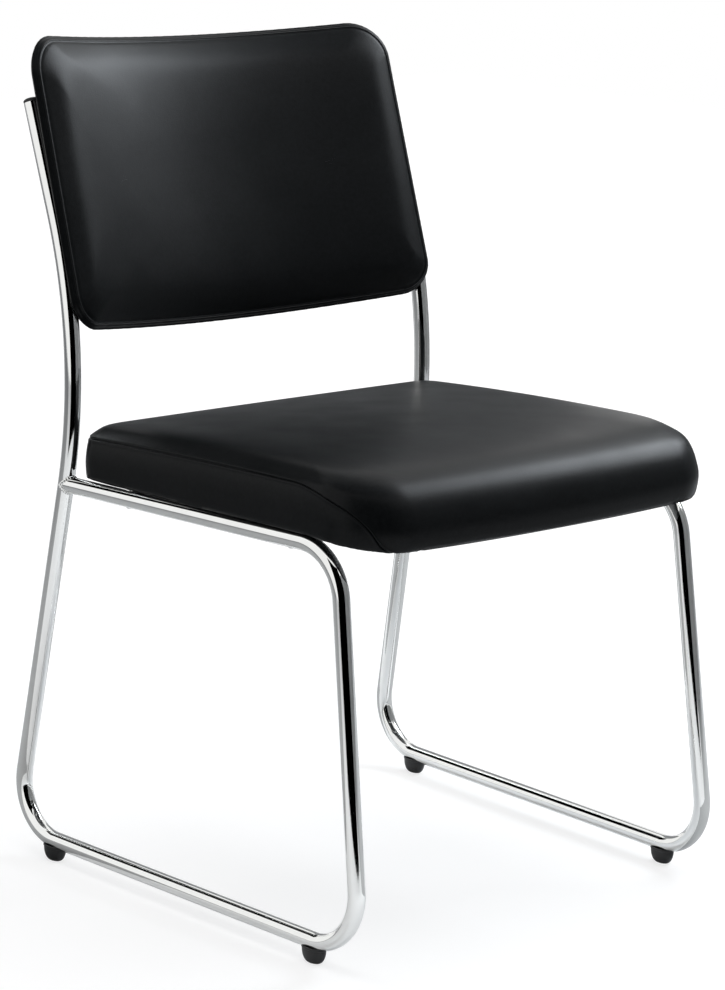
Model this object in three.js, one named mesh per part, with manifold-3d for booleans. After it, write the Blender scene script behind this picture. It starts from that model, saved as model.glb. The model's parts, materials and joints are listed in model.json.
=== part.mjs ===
// A sled base visitor chair: two bent tube side frames, an upholstered seat and a curved back.
// Millimetres, +Z up. The chair faces -Y and stands on the floor at Z = 0.

import * as THREE from 'three';
import { mergeVertices } from 'three/addons/utils/BufferGeometryUtils.js';
import Module from 'manifold-3d';

const wasm = await Module();
wasm.setup();

const radians = THREE.MathUtils.degToRad;

// Fits and facets
const clearance = 0.3;
const overrun = 4;
const tubeSides = 16;
const boreSides = 8;
const boltSides = 10;
const bendSteps = 9;
const kinkSteps = 6;

// Steel tube, the same all over the frame
const tubeRadius = 8.5;
const tubeWall = 1.5;
const bendRadius = 55;
const weldSwell = 0.6;

// Side frame, as it is seen from the side
const glideHeight = 13;
const floorRailLength = 513;
const floorRailHalfWidth = 243.4;
const frameToe = radians(1.56);
const frameTilt = radians(1.65);
const frontLegLean = radians(8.66);
const rearLegLean = radians(8.88);
const uprightLean = radians(21.8);
const seatRailFrontZ = 403;
const seatPitch = radians(1.2);
const kinkRise = 127;
const kinkRadius = 520;
const uprightRise = 242;

// Glides under the floor rails
const glideSetback = 7.5;
const glideLength = 30;
const glideWidth = 19;
const glideLip = 3.5;
const glideFlatRadius = 6;
const pegRadius = 2.4;
const pegHeight = 5;

// Plugs in the top of the uprights
const plugDepth = 14;
const plugRim = 1.6;
const plugDome = 4.5;
const plugDomeSteps = 4;

// Cross tubes under the seat
const frontCrossSetback = 66.4;
const rearCrossSetback = 95.7;

// Seat
const seatOverhang = 0.6;
const seatFrontOverhang = 59;
const seatRearGap = 9.1;
const seatFrontRadius = 60;
const seatRearRadius = 28;
const seatFrontBow = 10;
const seatRearBow = 3;
const seatCrown = 67;
const seatSideReach = 160;
const seatFrontReach = 190;
const seatRearReach = 125;
const seatPeakSetback = 145;
const seatRearDropShare = 0.15;
const seatFrontDrop = 12;
const seatDropLength = 110;
const seatDropSteps = 5;
const dustCoverThickness = 0.8;
const dustCoverInset = 18;
const seatBoardThickness = 12;
const seatBoardInset = 15;

// Back
const backLean = radians(17.9);
const backBehindUprights = 37.4;
const backBelowTop = 90;
const backOverhang = 0.6;
const backHalfHeight = 151.5;
const backTopRadius = 42;
const backBottomRadius = 34;
const backTopBow = 2;
const backBottomBow = 2.4;
const backTaper = 1.8;
const backSag = 50;
const backRimDepth = 8;
const backCrown = 20;
const backReach = 110;
const backBoardThickness = 9;
const backBoardInset = 20;
const backPanelThickness = 2;
const backPanelInset = 19;
const backPanelEdge = 1.2;

// Upholstery
const coverThickness = 1.2;
const seatHemWidth = 16;
const backHemWidth = 28;
const leastCornerRadius = 10;
const sideSteps = 4;
const endSteps = 8;
const cornerSteps = 4;

// Fasteners
const boltRadius = 3;
const boltHeadRadius = 5.6;
const boltHeadHeight = 3.4;
const boltSocketRadius = 2.2;
const boltSocketDepth = 2;
const boltPoint = 0.8;
const nutFlangeRadius = 9;
const nutFlangeThickness = 1.4;
const nutBarrelRadius = 4.2;
const nutBarrelLength = 7.5;
const seatBoltSetIn = 93.4;
const backBoltSetIn = 38;
const backBoltZ = 50;

// Lugs that are welded to the uprights and carry the back
const lugThickness = 3;
const lugHeight = 34;
const lugInnerEnd = 17;
const lugOuterEnd = 28;
const lugCornerRadius = 7;

// Worked out from the sizes above
const railCentreZ = glideHeight + tubeRadius;
const railFrontY = -floorRailLength / 2;
const railRearY = floorRailLength / 2;
const boreRadius = tubeRadius - tubeWall;
const glideReach = railRearY - bendRadius - glideSetback;
const seatRailFrontY = railFrontY + Math.tan(frontLegLean) * (seatRailFrontZ - railCentreZ);
const kinkZ = seatRailFrontZ + kinkRise;
const kinkY = railRearY - Math.tan(rearLegLean) * (kinkZ - railCentreZ);
const uprightTopZ = kinkZ + uprightRise;
const uprightTopY = kinkY + Math.tan(uprightLean) * uprightRise;
const seatRailSlope = Math.tan(seatPitch);
const seatPlaneZ = seatRailFrontZ + seatRailSlope * seatRailFrontY;
const weldY = (railRearY - Math.tan(rearLegLean) * (seatPlaneZ - railCentreZ))
  / (1 - seatRailSlope * Math.tan(rearLegLean));
const frontCrossY = seatRailFrontY + frontCrossSetback;
const rearCrossY = weldY - rearCrossSetback;
const seatHalfWidth = floorRailHalfWidth + seatOverhang;
const seatFrontY = seatRailFrontY - seatFrontOverhang;
const seatRearY = weldY - seatRearGap;
const seatPeakY = seatFrontY + seatPeakSetback;
const seatDropStartY = seatFrontY + seatDropLength;
const seatBoltX = floorRailHalfWidth - seatBoltSetIn;
const dustCoverZ = tubeRadius + clearance;
const cushionZ = dustCoverZ + dustCoverThickness + 2 * clearance;
const seatBoardZ = cushionZ + coverThickness + clearance;
const backCentreZ = uprightTopZ - backBelowTop;
const backCentreY = uprightTopY - Math.tan(uprightLean) * backBelowTop + backBehindUprights;
const backHalfWidth = floorRailHalfWidth + backOverhang;
const backBoltX = backHalfWidth - backBoltSetIn;
const backBoardRear = backRimDepth - coverThickness - clearance;
const backPanelFront = backRimDepth + clearance;
const backPanelRear = backPanelFront + backPanelThickness;

// Rings of the seat cushion from under its hem, out round its sides and up to the crown: shares
// of the crown's reach inwards from the sides, the front and the rear, and of its height
const seatRingShares = [
  { side: 0.25, front: 0.21, rear: 0.32, rise: 0 },
  { side: 0.06, front: 0.05, rear: 0.1, rise: 0 },
  { side: 0.013, front: 0.012, rear: 0.028, rise: 0.1 },
  { side: 0, front: 0, rear: 0, rise: 0.26 },
  { side: 0.006, front: 0.024, rear: 0.008, rise: 0.48 },
  { side: 0.025, front: 0.084, rear: 0.032, rise: 0.7 },
  { side: 0.056, front: 0.168, rear: 0.072, rise: 0.82 },
  { side: 0.112, front: 0.284, rear: 0.136, rise: 0.885 },
  { side: 0.212, front: 0.432, rear: 0.24, rise: 0.93 },
  { side: 0.39, front: 0.605, rear: 0.416, rise: 0.965 },
  { side: 0.66, front: 0.8, rear: 0.68, rise: 0.988 },
  { side: 1, front: 1, rear: 1, rise: 1 },
];

// Rings of the back cushion from its rear rim to the crown: shares of the crown's reach
// inwards from the edge, and of the depth from the rear rim to the crown
const backRingShares = [
  { edge: 0.055, depth: 0 },
  { edge: 0.012, depth: 0.07 },
  { edge: 0, depth: 0.2 },
  { edge: 0, depth: 0.38 },
  { edge: 0.035, depth: 0.54 },
  { edge: 0.1, depth: 0.67 },
  { edge: 0.22, depth: 0.79 },
  { edge: 0.41, depth: 0.885 },
  { edge: 0.68, depth: 0.95 },
  { edge: 1, depth: 1 },
];

// The section of a glide from the middle of its flat foot to its lip, as shares of its
// half length and of its height above the foot
const glideProfileShares = [
  [0.68, 0.13],
  [0.88, 0.36],
  [0.98, 0.68],
  [1, 1],
];

const chrome = new THREE.MeshStandardMaterial({ color: 0xd9dadb, roughness: 0.08, metalness: 1 });
const leatherette = new THREE.MeshStandardMaterial({ color: 0x0d0f10, roughness: 0.42, metalness: 0 });
const foam = new THREE.MeshStandardMaterial({ color: 0xcfc7a8, roughness: 0.95, metalness: 0 });
const plywood = new THREE.MeshStandardMaterial({ color: 0xb98d5a, roughness: 0.8, metalness: 0 });
const zinc = new THREE.MeshStandardMaterial({ color: 0xa9adb0, roughness: 0.35, metalness: 1 });
const blackPlastic = new THREE.MeshStandardMaterial({ color: 0x17181a, roughness: 0.5, metalness: 0 });
const dustCloth = new THREE.MeshStandardMaterial({ color: 0x1c1c1d, roughness: 0.95, metalness: 0 });

// Turns a closed geometry into a solid that can be cut and joined
function solidOf(geometry) {
  const bare = geometry.clone();
  bare.deleteAttribute('normal');
  bare.deleteAttribute('uv');
  const merged = mergeVertices(bare);
  return new wasm.Manifold(new wasm.Mesh({
    numProp: 3,
    vertProperties: new Float32Array(merged.attributes.position.array),
    triVerts: new Uint32Array(merged.index.array),
  }));
}

function geometryOf(solid) {
  const mesh = solid.getMesh();
  const geometry = new THREE.BufferGeometry();
  geometry.setAttribute('position', new THREE.BufferAttribute(new Float32Array(mesh.vertProperties), 3));
  geometry.setIndex(new THREE.BufferAttribute(new Uint32Array(mesh.triVerts), 1));
  geometry.computeVertexNormals();
  return geometry;
}

// A solid given in the chair's frame, moved into the frame of one of the chair's objects
function cutterFor(object, geometry) {
  object.updateWorldMatrix(true, false);
  return solidOf(geometry.clone().applyMatrix4(object.matrixWorld.clone().invert()));
}

function meshOf(name, geometry, material) {
  const mesh = new THREE.Mesh(geometry, material);
  mesh.name = name;
  return mesh;
}

// A path whose rings lie only where the tube bends, and at its two ends
class RingPath extends THREE.Curve {
  constructor(rings) {
    super();
    this.rings = rings;
  }

  ringAt(share) {
    return this.rings[Math.round(share * (this.rings.length - 1))];
  }

  getPointAt(share, target = new THREE.Vector3()) {
    return target.copy(this.ringAt(share).point);
  }

  getTangentAt(share, target = new THREE.Vector3()) {
    return target.copy(this.ringAt(share).tangent);
  }
}

// Rings along straight runs between corners, with a round bend at each inner corner
function bentRings(corners, bends) {
  const directions = corners.slice(1).map((corner, i) => corner.clone().sub(corners[i]).normalize());
  const rings = [{ point: corners[0], tangent: directions[0] }];
  bends.forEach((bend, i) => {
    const along = directions[i];
    const turn = along.angleTo(directions[i + 1]);
    const inward = directions[i + 1].clone().addScaledVector(along, -Math.cos(turn)).normalize();
    const start = corners[i + 1].clone().addScaledVector(along, -bend.radius * Math.tan(turn / 2));
    for (let step = 0; step <= bend.steps; step++) {
      const angle = turn * step / bend.steps;
      rings.push({
        point: start.clone().addScaledVector(along, bend.radius * Math.sin(angle))
          .addScaledVector(inward, bend.radius * (1 - Math.cos(angle))),
        tangent: along.clone().multiplyScalar(Math.cos(angle)).addScaledVector(inward, Math.sin(angle)),
      });
    }
  });
  rings.push({ point: corners.at(-1), tangent: directions.at(-1) });
  return rings;
}

function polygon(radius, sides) {
  const points = [];
  for (let i = 0; i < sides; i++) {
    const angle = 2 * Math.PI * i / sides;
    points.push(new THREE.Vector2(radius * Math.cos(angle), radius * Math.sin(angle)));
  }
  return points;
}

function sweep(rings, radius, sides) {
  return new THREE.ExtrudeGeometry(new THREE.Shape(polygon(radius, sides)), {
    extrudePath: new RingPath(rings),
    steps: rings.length - 1,
    bevelEnabled: false,
  });
}

// A round bar along Z from one height to another
function bar(radius, fromZ, toZ, sides = boltSides) {
  const geometry = new THREE.CylinderGeometry(radius, radius, toZ - fromZ, sides);
  return geometry.rotateX(Math.PI / 2).translate(0, 0, (fromZ + toZ) / 2);
}

// A profile of [radius, height] pairs turned about Z
function turned(profile, sides) {
  const points = profile.map(([radius, height]) => new THREE.Vector2(radius, height));
  return new THREE.LatheGeometry(points, sides).rotateX(Math.PI / 2);
}

// The place on a side frame's flat plane that is seen at Y and Z from the side
function onFrame(side, y, z) {
  const halfWidth = floorRailHalfWidth + Math.tan(frameToe) * (y - railFrontY)
    - Math.tan(frameTilt) * (z - railCentreZ);
  return new THREE.Vector3(side * halfWidth, y, z);
}

function onSeatRail(side, y) {
  return onFrame(side, y, seatPlaneZ - seatRailSlope * y);
}

// The frame's route from the top of the upright, round the floor, to the weld under the seat.
// The extra at the top and the shortfall at the weld are lengths along the tube.
function framePath(side, extraTop, shortOfWeld) {
  const kink = onFrame(side, kinkY, kinkZ);
  const top = onFrame(side, uprightTopY, uprightTopZ);
  const upwards = top.clone().sub(kink).normalize();
  const corners = [
    top.addScaledVector(upwards, extraTop),
    kink,
    onFrame(side, railRearY, railCentreZ),
    onFrame(side, railFrontY, railCentreZ),
    onFrame(side, seatRailFrontY, seatRailFrontZ),
    onSeatRail(side, weldY - shortOfWeld),
  ];
  const bend = { radius: bendRadius, steps: bendSteps };
  return bentRings(corners, [{ radius: kinkRadius, steps: kinkSteps }, bend, bend, bend]);
}

// The room that a side frame and its plug take up, with the gap that a neighbour keeps
function frameRoom(side, gap = clearance) {
  return sweep(framePath(side, plugDome + overrun, tubeRadius), tubeRadius + gap, tubeSides);
}

// Where the seat rail butts against the upright: a short run of weld, a little fatter than the tube
function railWeld(side) {
  const rings = bentRings([onSeatRail(side, weldY - tubeRadius - overrun), onSeatRail(side, weldY)], []);
  return sweep(rings, tubeRadius + weldSwell, tubeSides);
}

// One continuous tube: upright, rear leg, floor rail, front leg and seat rail, welded back on itself
function makeSideFrame(side, name) {
  const tube = solidOf(sweep(framePath(side, 0, tubeRadius + tubeWall), tubeRadius, tubeSides));
  const bore = solidOf(sweep(framePath(side, overrun, tubeRadius + overrun), boreRadius, boreSides));
  let frame = tube.add(solidOf(railWeld(side))).subtract(bore);
  for (const y of [-glideReach, glideReach]) {
    const place = onFrame(side, y, railCentreZ);
    const hole = bar(pegRadius + clearance, -tubeRadius - overrun, 0).translate(place.x, place.y, place.z);
    frame = frame.subtract(solidOf(hole));
  }
  return meshOf(name, geometryOf(frame), chrome);
}

// A moulded foot: a long bowl that cups the tube, with a peg that snaps into the rail
function makeGlide(side, y, name) {
  const glide = meshOf(name, undefined, blackPlastic);
  const place = onFrame(side, y, railCentreZ);
  glide.position.set(place.x, place.y, 0);
  glide.rotation.z = -side * frameToe;
  const bowlHeight = glideHeight + glideLip;
  const profile = [[0, 0], [glideFlatRadius, 0]];
  for (const [reach, rise] of glideProfileShares) {
    profile.push([reach * glideLength / 2, rise * bowlHeight]);
  }
  profile.push([0, bowlHeight]);
  const bowl = turned(profile, tubeSides).scale(glideWidth / glideLength, 1, 1);
  const peg = bar(pegRadius, glideHeight - pegHeight, glideHeight + tubeWall + pegHeight);
  const body = solidOf(bowl).subtract(cutterFor(glide, frameRoom(side))).add(solidOf(peg));
  glide.geometry = geometryOf(body);
  return glide;
}

// A domed plug in the open end of the upright
function makePlug(side, name) {
  const [end, below] = framePath(side, 0, tubeRadius);
  const stemRadius = boreRadius * Math.cos(Math.PI / boreSides) - clearance;
  const profile = [[0, -plugDepth], [stemRadius, -plugDepth], [stemRadius, clearance],
    [tubeRadius, clearance], [tubeRadius, plugRim]];
  for (let step = 1; step <= plugDomeSteps; step++) {
    const angle = Math.PI / 2 * step / plugDomeSteps;
    const rise = (plugDome - plugRim) * Math.sin(angle);
    profile.push([tubeRadius * Math.cos(angle), plugRim + rise]);
  }
  profile[profile.length - 1][0] = 0;
  const plug = meshOf(name, turned(profile, tubeSides), blackPlastic);
  plug.position.copy(end.point);
  const upwards = end.point.clone().sub(below.point).normalize();
  plug.quaternion.setFromUnitVectors(new THREE.Vector3(0, 0, 1), upwards);
  return plug;
}

// The outline of a cushion or board as rings of matching points, from the middle of its right
// side round by the rear, the left side and the front
function outline(form, inset) {
  const half = form.halfWidth - inset.side;
  const front = form.front + inset.front;
  const rear = form.rear - inset.rear;
  const middle = (front + rear) / 2;
  const frontRadius = Math.max(form.frontRadius - inset.side, leastCornerRadius);
  const rearRadius = Math.max(form.rearRadius - inset.side, leastCornerRadius);
  const points = [];
  const line = (x0, y0, x1, y1, steps) => {
    for (let i = 0; i < steps; i++) {
      points.push(new THREE.Vector2(x0 + (x1 - x0) * i / steps, y0 + (y1 - y0) * i / steps));
    }
  };
  const corner = (x, y, radius, startAngle) => {
    for (let i = 0; i < cornerSteps; i++) {
      const angle = startAngle + Math.PI / 2 * i / cornerSteps;
      points.push(new THREE.Vector2(x + radius * Math.cos(angle), y + radius * Math.sin(angle)));
    }
  };
  line(half, middle, half, rear - rearRadius, sideSteps);
  corner(half - rearRadius, rear - rearRadius, rearRadius, 0);
  line(half - rearRadius, rear, rearRadius - half, rear, endSteps);
  corner(rearRadius - half, rear - rearRadius, rearRadius, Math.PI / 2);
  line(-half, rear - rearRadius, -half, middle, sideSteps);
  line(-half, middle, -half, front + frontRadius, sideSteps);
  corner(frontRadius - half, front + frontRadius, frontRadius, Math.PI);
  line(frontRadius - half, front, half - frontRadius, front, endSteps);
  corner(half - frontRadius, front + frontRadius, frontRadius, Math.PI * 3 / 2);
  line(half, front + frontRadius, half, middle, sideSteps);
  return points.map((point) => {
    const across = point.x / half;
    const along = (point.y - middle) / (rear - middle);
    const bow = along < 0 ? form.frontBow * -along : -form.rearBow * along;
    return new THREE.Vector2(point.x * (1 - form.taper * along / half), point.y + bow * across ** 2);
  });
}

// A closed skin over rings of matching points. Each end is closed straight across, from each
// point to the one opposite it, so that an end follows any curve that the rings have in X.
function loft(rings) {
  const count = rings[0].length;
  const positions = rings.flat().flatMap((point) => [point.x, point.y, point.z]);
  const faces = [];
  for (let ring = 0; ring + 1 < rings.length; ring++) {
    for (let i = 0; i < count; i++) {
      const a = ring * count + i;
      const b = ring * count + (i + 1) % count;
      faces.push(a, b, b + count, a, b + count, a + count);
    }
  }
  const cap = (start, flip) => {
    for (let i = 0; i < count / 2; i++) {
      const corners = [i, i + 1, count - i - 1, (count - i) % count];
      const [a, b, c, d] = corners.map((corner) => start + corner);
      if (i > 0) {
        faces.push(...(flip ? [a, c, d] : [a, d, c]));
      }
      if (i + 1 < count / 2) {
        faces.push(...(flip ? [a, b, c] : [a, c, b]));
      }
    }
  };
  cap(0, false);
  cap((rings.length - 1) * count, true);
  const geometry = new THREE.BufferGeometry();
  geometry.setAttribute('position', new THREE.Float32BufferAttribute(positions, 3));
  geometry.setIndex(faces);
  return geometry;
}

const seatForm = {
  halfWidth: seatHalfWidth,
  front: seatFrontY,
  rear: seatRearY,
  frontRadius: seatFrontRadius,
  rearRadius: seatRearRadius,
  frontBow: seatFrontBow,
  rearBow: seatRearBow,
  taper: 0,
};

const backForm = {
  halfWidth: backHalfWidth,
  front: -backHalfHeight,
  rear: backHalfHeight,
  frontRadius: backBottomRadius,
  rearRadius: backTopRadius,
  frontBow: backBottomBow,
  rearBow: backTopBow,
  taper: backTaper,
};

// How far the underside of the seat curves down towards its front edge
function seatDrop(y) {
  return seatFrontDrop * Math.max(0, (seatDropStartY - y) / (seatDropStartY - seatFrontY)) ** 2;
}

// The seat cushion's form, drawn in all round by a depth below its surface
function seatCushion(depth) {
  return loft(seatRingShares.map((share) => {
    const inset = {
      side: share.side * seatSideReach + depth,
      front: share.front * seatFrontReach + depth,
      rear: share.rear * seatRearReach + depth,
    };
    const rise = depth + share.rise * (seatCrown - 2 * depth);
    return outline(seatForm, inset).map((point) => {
      const back = Math.max(0, (point.y - seatPeakY) / (seatRearY - seatPeakY));
      const height = rise * (1 - seatRearDropShare * back ** 2) - (1 - share.rise) * seatDrop(point.y);
      return new THREE.Vector3(point.x, point.y, cushionZ + height);
    });
  }));
}

// The depth from the back's front seam at X: the panel is bent about an upright axis
function backBend(x) {
  return -backSag * (x / backHalfWidth) ** 2;
}

function backRing(inset, depth) {
  const insets = { side: inset, front: inset, rear: inset };
  return outline(backForm, insets).map((point) => (
    new THREE.Vector3(point.x, depth + backBend(point.x), point.y)
  ));
}

function backCushion(depth) {
  return loft(backRingShares.map((share) => {
    const front = -backCrown + depth;
    const rear = backRimDepth - depth;
    return backRing(share.edge * backReach + depth, rear + share.depth * (front - rear));
  }));
}

// An upright prism of the seat's outline, between two heights in the seat's frame
function seatPrism(inset, fromZ, toZ) {
  const shape = new THREE.Shape(outline(seatForm, { side: inset, front: inset, rear: inset }));
  const prism = new THREE.ExtrudeGeometry(shape, { depth: toZ - fromZ, bevelEnabled: false });
  return prism.translate(0, 0, fromZ);
}

// A sheet of the seat's outline that curves down at the front, as the seat's underside does
function seatSheet(inset, fromZ, toZ) {
  const front = seatFrontY - overrun;
  const edge = [new THREE.Vector2(seatRearY + 2 * overrun, 0)];
  for (let step = 0; step <= seatDropSteps; step++) {
    const y = seatDropStartY + (front - seatDropStartY) * step / seatDropSteps;
    edge.push(new THREE.Vector2(y, -seatDrop(y)));
  }
  const lower = edge.map((point) => new THREE.Vector2(point.x, point.y + fromZ));
  const upper = edge.map((point) => new THREE.Vector2(point.x, point.y + toZ)).reverse();
  const width = 2 * (seatHalfWidth + 2 * overrun);
  const across = new THREE.ExtrudeGeometry(new THREE.Shape([...lower, ...upper]), {
    depth: width, bevelEnabled: false,
  }).translate(0, 0, -width / 2);
  const [x, y, z] = [0, 1, 2].map((axis) => new THREE.Vector3().setComponent(axis, 1));
  across.applyMatrix4(new THREE.Matrix4().makeBasis(y, z, x));
  const prism = seatPrism(inset, fromZ - seatFrontDrop - overrun, toZ + overrun);
  return solidOf(across).intersect(solidOf(prism));
}

// A bent sheet of the back, from its rear depth to its front depth
function backSheet(inset, rear, front) {
  return loft([backRing(inset, rear), backRing(inset, front)]);
}

// A frame of its own for each seat bolt: Z points up through the tube and the board
function seatBoltPlaces() {
  const places = [];
  for (const [end, y] of [['front', frontCrossY], ['rear', rearCrossY]]) {
    for (const [side, x] of [['left', -seatBoltX], ['right', seatBoltX]]) {
      const place = new THREE.Object3D();
      place.position.set(x, y, 0);
      places.push({ label: `${end}_${side}`, place });
    }
  }
  return places;
}

// A frame of its own for each back bolt: Z points forwards, square to the bent panel there
function backBoltPlaces() {
  const places = [];
  for (const [end, z] of [['lower', -backBoltZ], ['upper', backBoltZ]]) {
    for (const [side, sign] of [['left', -1], ['right', 1]]) {
      const place = new THREE.Object3D();
      place.position.set(sign * backBoltX, backBend(backBoltX), z);
      const slope = Math.atan(2 * backSag * backBoltX / backHalfWidth ** 2);
      place.rotation.order = 'ZXY';
      place.rotation.set(Math.PI / 2, 0, -sign * slope);
      places.push({ label: `${side}_${end}`, place, sign });
    }
  }
  return places;
}

// Cuts the same hole at each place
function drilled(solid, places, radius, fromZ, toZ) {
  return places.reduce((rest, { place }) => {
    place.updateMatrix();
    return rest.subtract(solidOf(bar(radius, fromZ, toZ).applyMatrix4(place.matrix)));
  }, solid);
}

// A button head bolt with its head below Z and its shank upwards
function makeBolt(name, place, z, length) {
  const bolt = meshOf(name, turned([
    [0, boltSocketDepth - boltHeadHeight],
    [boltSocketRadius, boltSocketDepth - boltHeadHeight],
    [boltSocketRadius, -boltHeadHeight],
    [boltHeadRadius - boltPoint * 2, -boltHeadHeight],
    [boltHeadRadius, -boltHeadHeight / 2],
    [boltHeadRadius, 0],
    [boltRadius, 0],
    [boltRadius, length - boltPoint],
    [boltRadius - boltPoint, length],
    [0, length],
  ], boltSides), zinc);
  bolt.position.copy(place.position).add(new THREE.Vector3(0, 0, z).applyEuler(place.rotation));
  bolt.rotation.copy(place.rotation);
  return bolt;
}

// A flanged nut in the board: its barrel reaches down from the flange, whose top is at Z
function makeNut(name, place, z) {
  const inside = boltRadius + clearance;
  const nut = meshOf(name, turned([
    [inside, -nutBarrelLength],
    [nutBarrelRadius, -nutBarrelLength],
    [nutBarrelRadius, -nutFlangeThickness],
    [nutFlangeRadius, -nutFlangeThickness],
    [nutFlangeRadius, 0],
    [inside, 0],
    [inside, -nutBarrelLength],
  ], boltSides), zinc);
  nut.position.copy(place.position).add(new THREE.Vector3(0, 0, z).applyEuler(place.rotation));
  nut.rotation.copy(place.rotation);
  return nut;
}

// A straight tube between the seat rails, cupped at both ends to fit against them
function makeCrossTube(seat, name, y, places) {
  const reach = onSeatRail(1, y).x;
  const length = 2 * reach;
  const tube = bar(tubeRadius, -reach, reach, tubeSides).rotateY(Math.PI / 2).translate(0, y, 0);
  const bore = bar(boreRadius, -length, length, boreSides).rotateY(Math.PI / 2).translate(0, y, 0);
  let solid = solidOf(tube).subtract(solidOf(bore));
  for (const side of [-1, 1]) {
    solid = solid.subtract(cutterFor(seat, frameRoom(side)));
  }
  solid = drilled(solid, places, boltRadius + clearance, -tubeRadius - overrun, tubeRadius + overrun);
  return meshOf(name, geometryOf(solid), chrome);
}

function makeSeatBoard(places) {
  const top = seatBoardZ + seatBoardThickness;
  let board = seatSheet(seatBoardInset, seatBoardZ, top);
  const sink = nutFlangeThickness + clearance;
  board = drilled(board, places, nutBarrelRadius + clearance, seatBoardZ - overrun, top + overrun);
  board = drilled(board, places, nutFlangeRadius + 2 * clearance, top - sink, top + overrun);
  return meshOf('seat_board', geometryOf(board), plywood);
}

function makeDustCover(places) {
  const top = dustCoverZ + dustCoverThickness;
  let sheet = seatSheet(dustCoverInset, dustCoverZ, top);
  sheet = drilled(sheet, places, boltRadius + clearance, dustCoverZ - overrun, top + overrun);
  return meshOf('seat_dust_cover', geometryOf(sheet), dustCloth);
}

// Foam over the board and round its edges, inside the cover
function makeSeatFoam() {
  const boardTop = seatBoardZ + seatBoardThickness + clearance;
  const block = solidOf(seatCushion(coverThickness + clearance));
  const pocket = seatSheet(seatBoardInset - clearance, 0, boardTop);
  return meshOf('seat_foam', geometryOf(block.subtract(pocket)), foam);
}

// Sewn cover: its hem is folded under the board, which leaves an open mouth below
function makeSeatCover() {
  const shell = solidOf(seatCushion(0)).subtract(solidOf(seatCushion(coverThickness)));
  const mouth = seatSheet(seatBoardInset + seatHemWidth, cushionZ - overrun, cushionZ + overrun);
  return meshOf('seat_cover', geometryOf(shell.subtract(mouth)), leatherette);
}

function makeSeat() {
  const seat = new THREE.Group();
  seat.position.z = seatPlaneZ;
  seat.rotation.x = -seatPitch;
  const places = seatBoltPlaces();
  const boardTop = seatBoardZ + seatBoardThickness;
  seat.add(makeCrossTube(seat, 'cross_tube_front', frontCrossY, places.slice(0, 2)));
  seat.add(makeCrossTube(seat, 'cross_tube_rear', rearCrossY, places.slice(2)));
  seat.add(makeDustCover(places), makeSeatBoard(places), makeSeatFoam(), makeSeatCover());
  for (const { label, place } of places) {
    const head = -tubeRadius - clearance;
    seat.add(makeBolt(`seat_bolt_${label}`, place, head, boardTop - head - clearance));
    seat.add(makeNut(`seat_nut_${label}`, place, boardTop));
  }
  return seat;
}

// The back's depths run backwards from the front seam, and a bolt place's Z runs forwards,
// so a place's height there is the negative of the depth.
function makeBackBoard(places) {
  const front = backBoardRear - backBoardThickness;
  const sink = nutFlangeThickness + clearance;
  let board = solidOf(backSheet(backBoardInset, backBoardRear, front));
  board = drilled(board, places, nutBarrelRadius + clearance, -backBoardRear - overrun, -front + overrun);
  board = drilled(board, places, nutFlangeRadius + 2 * clearance, -front - sink, -front + overrun);
  return meshOf('back_board', geometryOf(board), plywood);
}

// The back cushion's form, drawn in by a depth and grooved where it wraps round the uprights
function groovedCushion(back, depth) {
  let cushion = solidOf(backCushion(depth));
  for (const side of [-1, 1]) {
    cushion = cushion.subtract(cutterFor(back, frameRoom(side, clearance + depth)));
  }
  return cushion;
}

// Foam in front of the board and round its edges, inside the cover
function makeBackFoam(back) {
  const boardFront = backBoardRear - backBoardThickness - clearance;
  const block = groovedCushion(back, coverThickness + clearance);
  const pocket = solidOf(backSheet(backBoardInset - clearance, backRimDepth + overrun, boardFront));
  return meshOf('back_foam', geometryOf(block.subtract(pocket)), foam);
}

// Sewn cover: its hem is folded behind the board, which leaves an open mouth at the rear
function makeBackCover(back) {
  const shell = groovedCushion(back, 0).subtract(groovedCushion(back, coverThickness));
  const mouth = solidOf(backSheet(backHemWidth, backRimDepth + overrun, backRimDepth - overrun));
  return meshOf('back_cover', geometryOf(shell.subtract(mouth)), leatherette);
}

// Covered panel that closes the mouth at the rear of the back
function makeBackPanel(places) {
  const rings = [
    backRing(backPanelInset + backPanelEdge, backPanelRear),
    backRing(backPanelInset, backPanelRear - backPanelEdge),
    backRing(backPanelInset, backPanelFront),
  ];
  const panel = drilled(solidOf(loft(rings)), places, boltRadius + clearance,
    -backPanelRear - overrun, -backPanelFront + overrun);
  return meshOf('back_rear_panel', geometryOf(panel), leatherette);
}

// A flat steel lug behind the panel. Its outer end is cupped to fit against the upright.
function makeLug(back, label, place, sign) {
  const lug = meshOf(`back_lug_${label}`, undefined, chrome);
  const rear = backPanelRear + clearance + lugThickness;
  lug.position.copy(place.position).add(new THREE.Vector3(0, 0, -rear).applyEuler(place.rotation));
  lug.rotation.copy(place.rotation);
  back.add(lug);
  const half = lugHeight / 2;
  const shape = new THREE.Shape();
  shape.moveTo(lugOuterEnd, -half);
  shape.lineTo(lugOuterEnd, half);
  shape.lineTo(lugCornerRadius - lugInnerEnd, half);
  shape.absarc(lugCornerRadius - lugInnerEnd, half - lugCornerRadius, lugCornerRadius,
    Math.PI / 2, Math.PI, false);
  shape.absarc(lugCornerRadius - lugInnerEnd, lugCornerRadius - half, lugCornerRadius,
    Math.PI, Math.PI * 3 / 2, false);
  const plate = new THREE.ExtrudeGeometry(shape, {
    depth: lugThickness, bevelEnabled: false, curveSegments: cornerSteps,
  });
  if (sign < 0) {
    plate.rotateZ(Math.PI);
  }
  const hole = bar(boltRadius + clearance, -overrun, lugThickness + overrun);
  const cut = solidOf(plate).subtract(cutterFor(lug, frameRoom(sign))).subtract(solidOf(hole));
  lug.geometry = geometryOf(cut);
}

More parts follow.
